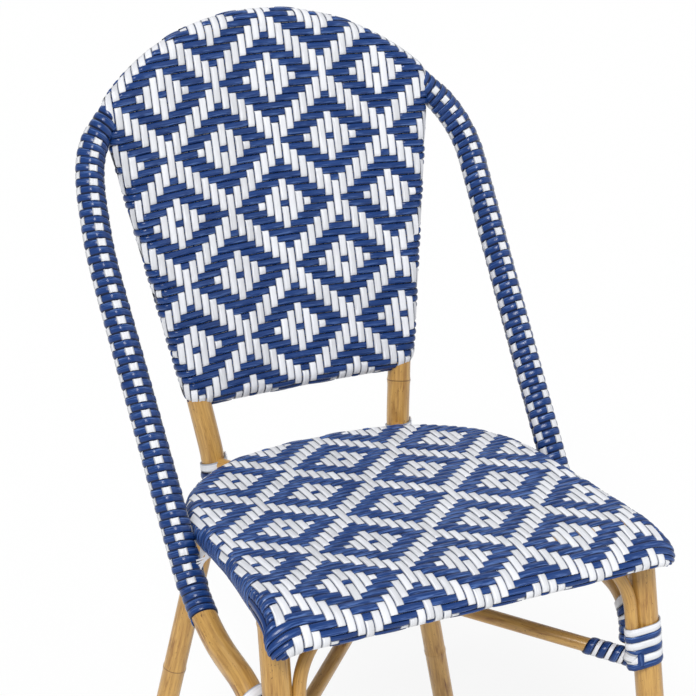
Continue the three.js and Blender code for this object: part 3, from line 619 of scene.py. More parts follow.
def fit(piece, slot, node):
    """Puts a finished piece on the chair in place of its CAD node."""
    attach(piece, "root")
    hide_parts(node)


def tube_faces(base, rings, corners, way=1):
    """Sides and ends of a run of rings whose points start at base; way -1 turns them over."""
    last = base + (rings - 1) * corners
    faces = []
    for low in range(base, last, corners):
        high = low + corners
        for j in range(corners):
            k = (j + 1) % corners
            faces.append((low + j, high + j, high + k, low + k)[::way])
    ends = tuple(range(base, base + corners)), tuple(range(last, last + corners))
    return faces + [ends[0][::way], ends[1][::-way]]


class Strands:
    """Ribbons gathered into one flat mesh, in millimetres; each point keeps its place on its strand."""

    def __init__(self):
        self.points, self.faces, self.lay, self.count = [], [], [], 0

    def add(self, centres, side, section, tone):
        """A ribbon along centres; section lists (sideways, up) corners from its left edge over the top."""
        centres = np.asarray(centres, float)
        side = np.broadcast_to(np.asarray(side, float), centres.shape)
        rings, corners = len(centres), len(section)
        points = centres[:, None] + side[:, None] * section[None, :, :1] + UP * section[None, :, 1:]
        steps = np.linalg.norm(np.diff(centres, axis=0), axis=1)
        along = np.concatenate([[0.0], np.cumsum(steps)])
        lay = np.empty((rings, corners, 3))
        lay[:, :, 0] = along[:, None] * MM
        lay[:, :, 1] = section[None, :, 0] * MM
        lay[:, :, 2] = tone
        outward = float(np.cross(centres[1] - centres[0], side[0]) @ UP) > 0
        self.points.append(points.reshape(-1, 3))
        self.lay.append(lay.reshape(-1, 3))
        self.faces += tube_faces(self.count, rings, corners, -1 if outward else 1)
        self.count += rings * corners

    def move(self, shift):
        """Moves every point of the cloth by shift(x, y), a pair of arrays, still in the flat."""
        for points in self.points:
            points[:, :2] += np.column_stack(shift(points[:, 0], points[:, 1]))

    def flat_object(self, name):
        thing = mesh_object(name, np.vstack(self.points) * MM, faces=self.faces)
        store(thing.data, "lay", np.vstack(self.lay))
        return thing


def flat_section(width, thickness):
    """A thin strip with slightly eased edges."""
    corners = [(-0.5, 0.1), (-0.44, 0.5), (0.44, 0.5), (0.5, 0.1), (0.45, -0.5), (-0.45, -0.5)]
    return np.array(corners) * np.array([width, thickness])


def round_section(width, thickness):
    """A half-round strand: domed crown and falling sides."""
    corners = [(-0.5, -0.3), (-0.42, 0.12), (-0.23, 0.42), (0.0, 0.5), (0.23, 0.42), (0.42, 0.12),
               (0.5, -0.3), (0.3, -0.5), (-0.3, -0.5)]
    return np.array(corners) * np.array([width, thickness])


# The woven pattern

MOTIF_COLUMNS = 14
MOTIF_ROWS = 18


def from_nearest(value, centre, period):
    return abs((value - centre + period / 2) % period - period / 2)


def white_on_top(column, row):
    """Lozenges of white steps that cross halfway between rosettes, repeated every 14 columns and 18 rows."""
    for centre_column, centre_row in ((0, 0), (MOTIF_COLUMNS // 2, MOTIF_ROWS // 2)):
        across = from_nearest(column, centre_column, MOTIF_COLUMNS)
        up = from_nearest(row, centre_row, MOTIF_ROWS)
        if 1 <= across + up <= 3:
            return True
        up = from_nearest(row, centre_row + MOTIF_ROWS // 2, MOTIF_ROWS)
        if across == 0 and up <= 2:
            return True
        if 1 <= across <= 6 and abs(up - (across + 1)) <= 1:
            return True
    return False


def outside_distance(points, outline):
    """How far flat points lie outside an outline, negative inside it, and the nearest points on it."""
    spans = np.roll(outline, -1, axis=0) - outline
    reach = points[:, None] - outline[None]
    share = np.clip((reach * spans).sum(2) / (spans ** 2).sum(1), 0, 1)
    nearest = outline + share[..., None] * spans
    gaps = np.linalg.norm(points[:, None] - nearest, axis=2)
    best = gaps.argmin(1)
    cross = spans[:, 0] * reach[..., 1] - spans[:, 1] * reach[..., 0]
    inside = (cross >= 0).all(1)
    rows = np.arange(len(points))
    return np.where(inside, -gaps[rows, best], gaps[rows, best]), nearest[rows, best]


def runs(flags):
    """Each cell's place along its run of equal flags, from 0 to 1, and the length of that run."""
    count = len(flags)
    place, length = np.zeros(count), np.zeros(count)
    start = 0
    for i in range(1, count + 1):
        if i == count or flags[i] != flags[start]:
            size = i - start
            place[start:i] = (np.arange(size) + 0.5) / size
            length[start:i] = size
            start = i
    return place, length


class Weave:
    """A rectangular cloth of white columns and blue rows, cut roughly to an outline."""

    # The rings of a strand in one cell, as shares of it from its middle; the outer two are left out where
    # the strand lies level, but not within EDGE of the outline or outside it
    RINGS = (-0.34, 0.0, 0.34)
    EDGE = 4
    # Strands run on this far past the end of their wrap, and their crowns swell this much
    MARGIN = 12
    WHITE_BELLY, BLUE_BELLY = 0.35, 0.6
    # Uneven spacing left by the weaver's hand
    WHITE_DRIFT, BLUE_DRIFT = 0.14, 0.12

    def __init__(self, outline, column_pitch, row_start, row_step, reach, sizes, on_top, blue_column=None):
        self.outline, self.reach = outline, reach
        self.column_pitch, self.row_start, self.row_step = column_pitch, row_start, row_step
        low, high = outline.min(0) - reach, outline.max(0) + reach
        self.columns = range(math.floor(low[0] / column_pitch), math.ceil(high[0] / column_pitch) + 1)
        ends = sorted([(low[1] - row_start) / row_step, (high[1] - row_start) / row_step])
        self.rows = range(math.floor(ends[0]), math.ceil(ends[1]) + 1)
        self.sizes, self.blue_column = sizes, blue_column
        places = np.array([[(c * column_pitch, row_start + r * row_step) for r in self.rows]
                           for c in self.columns])
        distance, nearest = outside_distance(places.reshape(-1, 2), outline)
        self.distance = distance.reshape(places.shape[:2])
        nearest = nearest.reshape(places.shape)
        self.top = np.array([
            [on_top(c, r, self.distance[i, j], nearest[i, j]) for j, r in enumerate(self.rows)]
            for i, c in enumerate(self.columns)
        ])

    def line(self, places, distances, tops, step, belly):
        """Rings of one strand: it arches over each run on top, and dives where it goes under."""
        lift = self.sizes.relief / MM / 2
        run_place, run_length = runs(tops)
        rings = []
        last = len(places) - 1
        for k, place in enumerate(places):
            if distances[k] > self.reach + self.MARGIN:
                continue
            edge = distances[k] > -self.EDGE
            dives = (k > 0 and tops[k - 1] != tops[k], k < last and tops[k + 1] != tops[k])
            for part in self.RINGS:
                if part and not edge and not dives[part > 0]:
                    continue
                arch = math.sin(math.pi * (run_place[k] + part / run_length[k]))
                swell = belly * min(1.0, run_length[k] / 3)
                if tops[k]:
                    height = lift * (1.0 if run_length[k] > 1 else 0.8) + swell * (arch - 0.45)
                else:
                    height = -lift - 0.1 * arch
                rings.append((place + part * step, height - SEAT_WEAVE / 2))
        return np.array(rings)

    def strands(self, seed):
        """The blue and the white strands, each with its own tone."""
        chance = np.random.default_rng(seed)
        sizes, white, blue = self.sizes, Strands(), Strands()
        ys = np.array([self.row_start + r * self.row_step for r in self.rows])
        xs = np.array([c * self.column_pitch for c in self.columns])
        white_section = flat_section(sizes.white_width / MM, sizes.white_thickness / MM)
        blue_section = round_section(sizes.blue_width / MM, sizes.blue_thickness / MM)
        for i, x in enumerate(xs):
            rings = self.line(ys, self.distance[i], self.top[i], self.row_step, self.WHITE_BELLY)
            tone, drift = chance.random(), chance.normal(0, self.WHITE_DRIFT)
            if len(rings) > 1:
                centres = np.column_stack([np.full(len(rings), x + drift), rings])
                is_blue = self.blue_column and self.blue_column(x)
                strands, section = (blue, blue_section) if is_blue else (white, white_section)
                strands.add(centres, (1, 0, 0), section, tone)
        for j, y in enumerate(ys):
            rings = self.line(xs, self.distance[:, j], ~self.top[:, j], self.column_pitch, self.BLUE_BELLY)
            tone, drift = chance.random(), chance.normal(0, self.BLUE_DRIFT)
            if len(rings) > 1:
                centres = np.column_stack([rings[:, 0], np.full(len(rings), y + drift), rings[:, 1]])
                blue.add(centres, (0, 1, 0), blue_section, tone)
        return blue, white


# Materials

def new_material(name):
    """An empty material and what adds a node to it."""
    material = bpy.data.materials.new(name)
    material.use_nodes = True
    material.node_tree.nodes.clear()
    return material, partial(add_node, material.node_tree)


def bamboo_paint(colours):
    """Tube lacquered in honey yellow with hand-painted brown fibres, so it reads as smoked cane."""
    material, node = new_material("satin_lacquer_over_painted_cane")
    grain = node("ShaderNodeAttribute", attribute_name="grain").outputs["Vector"]
    knot = node("ShaderNodeAttribute", attribute_name="knot").outputs["Fac"]
    # Fibres are drawn about 2 mm wide and 40 mm long, coarser than the brush marks, so that they show
    stretched = node(VECTOR_MATH, (grain, (24, 330, 330)), operation="MULTIPLY")
    fibre = node(NOISE, {"Vector": stretched, "Scale": 1.0, "Detail": 5.0, "Roughness": 0.62})
    # Smoke patches are about 30 mm long and 12 mm across
    stretched = node(VECTOR_MATH, (grain, (26, 75, 75)), operation="MULTIPLY")
    patches = node(NOISE, {"Vector": stretched, "Scale": 1.0, "Detail": 3.0, "Roughness": 0.55})
    # Spatter and squiggles of about 3 mm by 1 mm
    stretched = node(VECTOR_MATH, (grain, (230, 620, 620)), operation="MULTIPLY")
    dots = node(NOISE, {"Vector": stretched, "Scale": 1.0, "Detail": 4.0, "Distortion": 0.9})
    base = node("ShaderNodeValToRGB", {"Fac": fibre})
    pale, deep = base.color_ramp.elements[1], base.color_ramp.elements[0]
    deep.position, deep.color = 0.30, linear("#9c7034")
    pale.position, pale.color = 0.62, tuple(colours.bamboo)
    smoke = node(MAP_RANGE, (patches, 0.56, 0.70))
    streak = node(MAP_RANGE, (fibre, 0.58, 0.40))
    smoked = node(MATH, (smoke, streak), operation="MULTIPLY")
    spots = node(MAP_RANGE, (dots, 0.655, 0.70, 0.0, 0.75))
    ring = node(MAP_RANGE, (knot, 0.80, 0.96, 0.0, 0.85))
    colour = base
    for share, paint in (
        (smoked, colours.bamboo_smoke), (spots, linear("#4c3214")), (ring, linear("#5a3818")),
    ):
        colour = node(MIX, {"Factor": share, 6: colour, 7: tuple(paint)}, data_type="RGBA").outputs[2]
    bump = node("ShaderNodeBump", {"Height": fibre, "Strength": 0.25, "Distance": 0.0004})
    rough = node(MAP_RANGE, (patches, 0.0, 1.0, 0.30, 0.46))
    shader = node("ShaderNodeBsdfPrincipled", {
        "Base Color": colour, "Roughness": rough, "Normal": bump,
        "Coat Weight": 0.35, "Coat Roughness": 0.22, "IOR": 1.5,
    })
    node("ShaderNodeOutputMaterial", {"Surface": shader})
    return material


def strand_plastic(name, colour, groove_shade_colour, glint_colour, half_width, roughness, shine):
    """Extruded weaving strand: fine die lines, painted shade along its edges for the grooves between
    strands, and pale painted highlight streaks on one shoulder.
    """
    material, node = new_material(name)
    lay = node("ShaderNodeAttribute", attribute_name="lay").outputs["Vector"]
    parts = node(SPLIT, (lay,)).outputs
    # Die lines every half millimetre, drawn out over 60 mm of strand
    stretched = node(VECTOR_MATH, (lay, (16, 2200, 40)), operation="MULTIPLY")
    line = node(NOISE, {"Vector": stretched, "Scale": 1.0, "Detail": 3.0})
    # Cloudy tone that changes over about 25 mm of strand
    stretched = node(VECTOR_MATH, (lay, (40, 90, 60)), operation="MULTIPLY")
    cloud = node(NOISE, {"Vector": stretched, "Scale": 1.0, "Detail": 1.0})
    shade = node(MATH, (parts[2], 0.2, 0.76), operation="MULTIPLY_ADD")
    soft = node(MATH, (cloud, 0.28, shade), operation="MULTIPLY_ADD")
    fine = node(MATH, (line, 0.18, -0.09), operation="MULTIPLY_ADD")
    value = node(MATH, (soft, fine), operation="ADD")
    toned = node(VECTOR_MATH, {0: colour[:3], "Scale": value}, operation="SCALE")
    offset = node(MATH, (parts[1],), operation="ABSOLUTE")
    # Painted shade: the edges turn towards the groove colour, standing for the shade in the grooves between
    # strands
    rim = node(MAP_RANGE, (offset, half_width * 0.72, half_width * 0.97, 0.0, 0.9))
    # Painted highlight: pale streaks about 1 mm across and 15 mm long, on the shoulder a third of the way
    # out, standing for glints of light on the strand
    stretched = node(VECTOR_MATH, (lay, (65, 900, 30)), operation="MULTIPLY")
    stroke = node(NOISE, {"Vector": stretched, "Scale": 1.0, "Detail": 2.0})
    painted_highlight_strokes = node(MAP_RANGE, (stroke, 0.48, 0.62, 0.0, 0.85))
    shoulder = node(MAP_RANGE, (parts[1], -half_width * 0.7, half_width * 0.35, 1.0, 0.0))
    streak = node(MATH, (painted_highlight_strokes, shoulder), operation="MULTIPLY")
    surface = toned
    for share, tint in (streak, glint_colour), (rim, groove_shade_colour):
        surface = node(MIX, {"Factor": share, 6: surface, 7: tint}, data_type="RGBA").outputs[2]
    bump = node("ShaderNodeBump", {"Height": line, "Strength": 0.3, "Distance": 0.0002})
    shader = node("ShaderNodeBsdfPrincipled", {
        "Base Color": surface, "Roughness": roughness, "Normal": bump,
        "Specular IOR Level": shine, "IOR": 1.5,
    })
    node("ShaderNodeOutputMaterial", {"Surface": shader})
    return material


def glide_plastic(colours):
    """Moulded polyamide foot cap: matt, with a faint orange-peel skin and scuffs near the floor."""
    material, node = new_material("moulded_polyamide_glide")
    place = node("ShaderNodeTexCoord").outputs["Object"]
    # Skin grain of about half a millimetre
    skin = node(NOISE, {"Vector": place, "Scale": 1900.0, "Detail": 2.0})
    # Scuffs of about 8 mm
    scuff = node(NOISE, {"Vector": place, "Scale": 130.0, "Detail": 4.0})
    low = node(MAP_RANGE, (node(SPLIT, (place,)).outputs[2], 0.0, 0.012, 0.8, 0.1))
    worn = node(MATH, (low, scuff), operation="MULTIPLY")
    scuffed = node(MIX, {"Factor": worn, 6: tuple(colours.glide), 7: linear("#6b5129")}, data_type="RGBA")
    bump = node("ShaderNodeBump", {"Height": skin, "Strength": 0.2, "Distance": 0.0002})
    shader = node("ShaderNodeBsdfPrincipled", {
        "Base Color": scuffed.outputs[2], "Roughness": 0.55, "Normal": bump, "IOR": 1.53,
    })
    node("ShaderNodeOutputMaterial", {"Surface": shader})
    return material


def white_backdrop(name):
    """Pale matt floor that goes to white for the camera and keeps the chair's shadow."""
    material, node = new_material(name)
    pale = node("ShaderNodeBsdfDiffuse", {"Color": linear("#f2f2f0")})
    glow = node("ShaderNodeEmission", {"Color": (1, 1, 1, 1), "Strength": 1.0})
    light = node("ShaderNodeLightPath").outputs
    seen = node(MATH, (light["Is Camera Ray"], light["Is Glossy Ray"]), operation="MAXIMUM")
    share = node(MATH, (seen, 0.85), operation="MULTIPLY")
    node("ShaderNodeOutputMaterial", {"Surface": node("ShaderNodeMixShader", (share, pale, glow))})
    return material


@cache
def material_of(kind):
    """The finish of one kind of piece, made once."""
    colours, sizes = bpy.context.scene.chair_colours, bpy.context.scene.chair_sizes
    # Painted shade and painted highlight: the dark colour darkens each strand's edges for the shade in the
    # grooves, and the pale one paints highlight streaks on it
    if kind == "blue_weave":
        return strand_plastic("glossy_blue_extruded_strand", tuple(colours.blue), linear("#081028"),
                              linear("#5a79b4"), sizes.blue_width / 2, 0.22, 0.3)
    if kind == "white_weave":
        return strand_plastic("satin_white_extruded_strip", tuple(colours.white), linear("#8d9098"),
                              linear("#f4f5fa"), sizes.white_width / 2, 0.42, 0.35)
    return {"bamboo_paint": bamboo_paint, "glide_plastic": glide_plastic}[kind](colours)


# Pieces

def reshape(piece, shape):
    """Moves the points of a finished mesh."""
    points = np.empty(len(piece.data.vertices) * 3, np.float32)
    piece.data.vertices.foreach_get("co", points)
    piece.data.vertices.foreach_set("co", shape(points.reshape(-1, 3)).astype(np.float32).ravel())
    piece.data.update()


def swept(name, path, radius, node, node_start=0.0, sides=24, closed=False, shape=None):
    """A smooth tube along a path in place of its faceted solid."""
    sizes = bpy.context.scene.chair_sizes
    source = path_object(f"{name}_path", path, closed=closed)
    piece = grown(source, sweep_tree(), {
        "Tube Radius": radius * MM, "Sides": sides, "Ring Step": RING_STEP * MM,
        "Node Start": node_start * MM, "Node Spacing": sizes.node_spacing,
        "Node Reach": sizes.node_reach, "Node Swell": sizes.node_swell / (radius * MM),
        "Material": material_of("bamboo_paint"),
    }, name, 40)
    discard(source)
    if shape:
        reshape(piece, shape)
    fit(piece, "bamboo_paint", node)


def rolled(name, strands, path, radius, slot, node, side=(1, 0, 0)):
    """Strands rolled round a path in place of a solid."""
    source = strands.flat_object(f"{name}_flat")
    line = path_object(f"{name}_path", path, side)
    values = {"Path": line, "Tube Radius": radius * MM, "Material": material_of(slot)}
    piece = grown(source, roll_tree(), values, name, STRAND_SHARP)
    discard(source, line)
    fit(piece, slot, node)


def wrapped(name, strands, outline, values, slot, node, shape=None):
    """Strands stretched over a frame in place of its skin; shape moves the points afterwards."""
    source = strands.flat_object(f"{name}_flat")
    face = mesh_object(f"{name}_outline", np.column_stack([outline, np.zeros(len(outline))]) * MM,
                       faces=[tuple(range(len(outline)))])
    values = {**values, "Outline": face, "Material": material_of(slot)}
    piece = grown(source, wrap_tree(), values, name, STRAND_SHARP)
    discard(source, face)
    close_ends(piece)
    if shape:
        reshape(piece, shape)
    fit(piece, slot, node)


def woven_face(name, cloth, seed, shift, values, node, shape=None):
    """The rows and the columns of one woven face, shifted in the flat before they are stretched."""
    blue, white = cloth.strands(seed)
    for part, strands, slot in (("rows", blue, "blue_weave"), ("columns", white, "white_weave")):
        strands.move(shift)
        given = {"Edge Reach": cloth.reach * MM, "Spare": CUT_SPARE * MM, **values}
        wrapped(f"{name}_{part}", strands, cloth.outline, given, slot, node, shape)


def loop_line(sign):
    """Centre line of one loop; the left one stands less far out near its top."""
    path = loop_path()
    lengths = np.concatenate([[0.0], np.cumsum(np.linalg.norm(np.diff(path, axis=0), axis=1))])
    along = np.linspace(0, lengths[-1], 140)
    line = np.column_stack([np.interp(along, lengths, path[:, k]) for k in range(3)])
    if sign < 0:
        line[:, 0] -= LEFT_LOOP_IN * np.exp(-((along - 95) / 45) ** 2)
    return mirrored(line, sign)


class Straps:
    """White and blue straps wound round one tube; radius_at gives their distance from its axis."""

    def __init__(self, radius, radius_at=None):
        self.radius = radius
        self.radius_at = radius_at or (lambda angle: radius + STRAP_STAND)
        self.cloth = {"white": Strands(), "blue": Strands()}

    def heights(self, angles):
        return np.array([self.radius_at(angle) for angle in angles]) - self.radius

    def wind(self, colour, start, turns, pitch, width, thickness, first_angle=0.0, sense=1, level=0.0):
        """Winds one strap; level makes the first half of each turn flatter than the second."""
        swings = np.linspace(0, turns * FULL_TURN, math.ceil(turns * WINDING_STEPS) + 1)
        along = start + pitch * (swings / FULL_TURN - level * (1 - np.cos(swings)) / 2)
        angles = first_angle + sense * swings
        centres = np.column_stack([along, angles * self.radius, self.heights(angles)])
        section, tone = {"white": (flat_section, 0.6), "blue": (round_section, 0.4)}[colour]
        self.cloth[colour].add(centres, (1, 0, 0), section(width, thickness), tone)

    def patch(self, colour, places, width, thickness, stand):
        """A short flat band over the straps, through places given as (distance along, degrees round)."""
        (x0, a0), (x1, a1) = places
        shares = np.linspace(0, 1, 9)
        angles = np.radians(a0 + (a1 - a0) * shares)
        centres = np.column_stack([
            x0 + (x1 - x0) * shares, angles * self.radius, self.heights(angles) + stand])
        run = unit(centres[-1] - centres[0])
        side = unit(np.array([-run[1], run[0], 0.0]))
        self.cloth[colour].add(centres, side, flat_section(width, thickness), 0.5)

    def roll(self, name, path, side_way=(1, 0, 0)):
        """Rolls the straps of both colours round the path of their joint."""
        for colour, strands in self.cloth.items():
            rolled(f"{name}_{colour}_winding", strands, path, self.radius, f"{colour}_weave",
                   f"{name}_{colour}_strap", side_way)


def belt_radius(radius, other_x, other_y, other_radius, stand):
    """Distance from a tube's axis to a belt that runs round it and a thinner tube beside it."""
    distance = math.hypot(other_x, other_y)
    heading = math.atan2(other_y, other_x)
    swing = math.acos((radius - other_radius) / distance)
    big, small = radius + stand, other_radius + stand
    edge = math.atan2(small * math.sin(swing), distance + small * math.cos(swing))

    def at(angle):
        off = abs((angle - heading + math.pi) % FULL_TURN - math.pi)
        if off >= swing:
            return big
        if off > edge:
            return big / math.cos(swing - off)
        inside = small ** 2 - (distance * math.sin(off)) ** 2
        return distance * math.cos(off) + math.sqrt(inside) if inside > 0 else 0.0

    return at


class ChairSizes(bpy.types.PropertyGroup):
    """Sizes that change the look without moving a tube."""
    node_spacing: bpy.props.FloatProperty(
        name="Node spacing", description="Distance between the rings of the cane", default=0.19,
        subtype="DISTANCE", unit="LENGTH")
    node_reach: bpy.props.FloatProperty(
        name="Node reach", description="How far a ring swells the cane to each side", default=0.005,
        subtype="DISTANCE", unit="LENGTH")
    node_swell: bpy.props.FloatProperty(
        name="Node swell", description="How far a ring stands proud", default=0.0007,
        subtype="DISTANCE", unit="LENGTH")
    white_width: bpy.props.FloatProperty(
        name="White width", description="Width of the white strips", default=0.0079,
        subtype="DISTANCE", unit="LENGTH")
    white_thickness: bpy.props.FloatProperty(
        name="White thickness", description="Thickness of the white strips", default=0.001,
        subtype="DISTANCE", unit="LENGTH")
    blue_width: bpy.props.FloatProperty(
        name="Blue width", description="Width of the blue strands", default=0.0071,
        subtype="DISTANCE", unit="LENGTH")
    blue_thickness: bpy.props.FloatProperty(
        name="Blue thickness", description="Thickness of the blue strands", default=0.0026,
        subtype="DISTANCE", unit="LENGTH")
    relief: bpy.props.FloatProperty(
        name="Relief", description="Height between a strand on top and one below", default=0.002,
        subtype="DISTANCE", unit="LENGTH")


class ChairColours(bpy.types.PropertyGroup):
    """Colours of the finishes."""
    bamboo: bpy.props.FloatVectorProperty(
        name="Cane", description="Honey yellow of the painted cane", default=linear("#c79b52"),
        size=4, subtype="COLOR")
    bamboo_smoke: bpy.props.FloatVectorProperty(
        name="Smoke", description="Brown of the painted fibres", default=linear("#7d4f1c"),
        size=4, subtype="COLOR")
    blue: bpy.props.FloatVectorProperty(
        name="Blue", description="Blue of the rows", default=linear("#193870"), size=4, subtype="COLOR")
    white: bpy.props.FloatVectorProperty(
        name="White", description="White of the columns", default=linear("#dddee2"), size=4, subtype="COLOR")
    glide: bpy.props.FloatVectorProperty(
        name="Glide", description="Tan of the foot caps", default=linear("#b08a48"), size=4, subtype="COLOR")


class FrameTubes(bpy.types.Operator):
    """Legs, braces, stretchers, loops and rails as smooth painted cane."""
    bl_idname = "chair.frame_tubes"
    bl_label = "Frame tubes"

    def execute(self, context):
        plan = rim_plan()
        rim = np.column_stack([plan, np.full(len(plan), RIM_HEIGHT)])
        half = PANEL_BOTTOM_HALF_WIDTH - 6
        rail = np.array([on_back(x, PANEL_BOTTOM) for x in np.linspace(-half, half, 30)])
        swept("arch_tube", arch_path(), TUBE_RADIUS, "back_arch")
        swept("low_rail_tube", rail, TUBE_RADIUS, "lower_back_rail")
        swept("rim_tube", rim, RIM_TUBE_RADIUS, "seat_rim", closed=True, shape=front_dip)
        for name, y in (("front", -FRONT_RAIL_FORWARD), ("rear", REAR_RAIL_BACK)):
            half = rim_half_width(y) - RIM_TUBE_RADIUS / 2
            line = np.linspace((-half, y, RIM_HEIGHT), (half, y, RIM_HEIGHT), 20)
            swept(f"{name}_rail_tube", line, CROSS_RAIL_RADIUS, f"seat_{name}_rail", 40)
        for side, sign in SIDES.items():
            # Label, solid, path on the right, radius, distance of the cane's first ring, sides of the tube
            for label, solid, path, radius, first_ring, sides in (
                ("rear_leg", "rear_leg", rear_leg_path(), TUBE_RADIUS, REAR_LEG_RING[side], 24),
                ("front_leg", "front_leg", front_leg_path(), FRONT_LEG_CANE, 2, 24),
                ("loop", "outer_loop", mirrored(loop_line(sign), sign), TUBE_RADIUS, 118, 24),
                ("corner_brace", "corner_brace", corner_brace_path(), BRACE_RADIUS, 18, 18),
                ("stretcher", "stretcher", mirrored(stretcher_path(sign), sign), STRETCHER_CANE, 30, 18),
                ("stub", "rear_stub", stub_path(), STUB_RADIUS, 60, 16),
            ):
                swept(f"{side}_{label}_tube", mirrored(path, sign), radius, f"{side}_{solid}",
                      first_ring, sides)
        return {"FINISHED"}


class FootGlides(bpy.types.Operator):
    """Moulded caps under the legs, with an eased lower edge."""
    bl_idname = "chair.foot_glides"
    bl_label = "Foot glides"

    # Height and share of the outer radius, from the floor up, over the lip and down inside
    PROFILE = ((0.0, 0.9), (0.5, 0.965), (1.6, 1.0), (20.0, 1.0),
               (21.4, 0.985), (22.0, 0.95), (22.0, 0.885), (14.0, 0.88))

    def execute(self, context):
        for side, sign in SIDES.items():
            for end, foot, above in (("rear", REAR_FOOT, REAR_WAIST), ("front", FRONT_FOOT, FRONT_LEG_TOP)):
                self.cap(f"{side}_{end}_glide", mirrored(foot, sign), mirrored(above, sign))
        return {"FINISHED"}

    def cap(self, name, foot, above, count=32):
        axis = unit(above - foot)
        lean = np.array([axis[0] / axis[2], axis[1] / axis[2], 0.0])
        points = []
        for rise, share in self.PROFILE:
            centre = foot + lean * rise + UP * rise
            points += [centre + GLIDE_RADIUS * share * np.array([math.cos(a), math.sin(a), 0.0])
                       for a in np.linspace(0, FULL_TURN, count, endpoint=False)]
        faces = [tuple(range(count))[::-1]]
        for low in range(0, len(points) - count, count):
            for j in range(count):
                k = (j + 1) % count
                faces.append((low + j, low + k, low + count + k, low + count + j))
        piece = mesh_object(f"{name}_cap", metres(points), faces=faces)
        piece.data.materials.append(material_of("glide_plastic"))
        piece.data.polygons.foreach_set("use_smooth", [True] * len(piece.data.polygons))
        piece.data.set_sharp_from_angle(angle=math.radians(40))
        fit(piece, "glide_plastic", name)


class WovenBack(bpy.types.Operator):
    """Front and rear faces of the backrest, woven over its tubes."""
    bl_idname = "chair.woven_back"
    bl_label = "Woven back"

    def execute(self, context):
        cloth = Weave(panel_outline(), *BACK_GRID, BACK_DEPTH * math.pi / 2, context.scene.chair_sizes,
                      lambda column, row, distance, nearest: white_on_top(column, row))
        for face, rear in (("front", False), ("rear", True)):
            woven_face(f"back_{face}", cloth, 7, self.sag, {
                "Edge Radius": BACK_DEPTH * MM, "Bow Radius": BACK_CURVE_RADIUS * MM, "Rear Face": rear,
                "Lean": (math.pi / 2 - BACK_TILT, 0.0, 0.0),
                "Place": tuple(metres([0, BACK_FACE_BEHIND, SEAT_HEIGHT])),
            }, "back_weave")
        return {"FINISHED"}

    def sag(self, x, y):
        """The rows hang towards both sides, more on the left."""
        aside = np.abs(x) / 180
        return 3.0 - 1.5 * np.clip(x / 120, 0, 1), -np.where(x < 0, 10 * aside ** 1.8, 8 * aside ** 1.3)


class WovenSeat(bpy.types.Operator):
    """The seat's weave, drawn over its rim and under it."""
    bl_idname = "chair.woven_seat"
    bl_label = "Woven seat"

    def execute(self, context):
        cloth = Weave(rim_plan(), *SEAT_GRID, RIM_RADIUS * math.radians(205), context.scene.chair_sizes,
                      self.on_top, lambda x: abs(x) > SIDE_BAND)
        woven_face("seat", cloth, 11, self.drawn, {
            "Edge Radius": RIM_RADIUS * MM, "Bow Radius": FLAT_BOW, "Rear Face": False,
            "Lean": (0.0, 0.0, 0.0), "Place": tuple(metres([0, 0, SEAT_HEIGHT])),
        }, "seat_weave", front_dip)
        return {"FINISHED"}

    def on_top(self, column, row, distance, nearest):
        """The pattern runs down the front, but ends at the sides, where blue strands close the edge."""
        x = abs(column * SEAT_GRID[0])
        patterned = white_on_top(column, row) and x < SEAT_FRONT_HALF_WIDTH + 5
        if nearest[1] <= WOVEN_CORNER - WOVEN_FRONT:
            return patterned
        if x > SIDE_BAND and nearest[1] < -132:
            return 15 < distance < 40
        return patterned and distance < 14

    def drawn(self, x, y):
        """The cloth sits a little to the left, less towards the front."""
        return -2.8 + 3.2 * ramp(y, -50, -140), np.zeros(len(x))


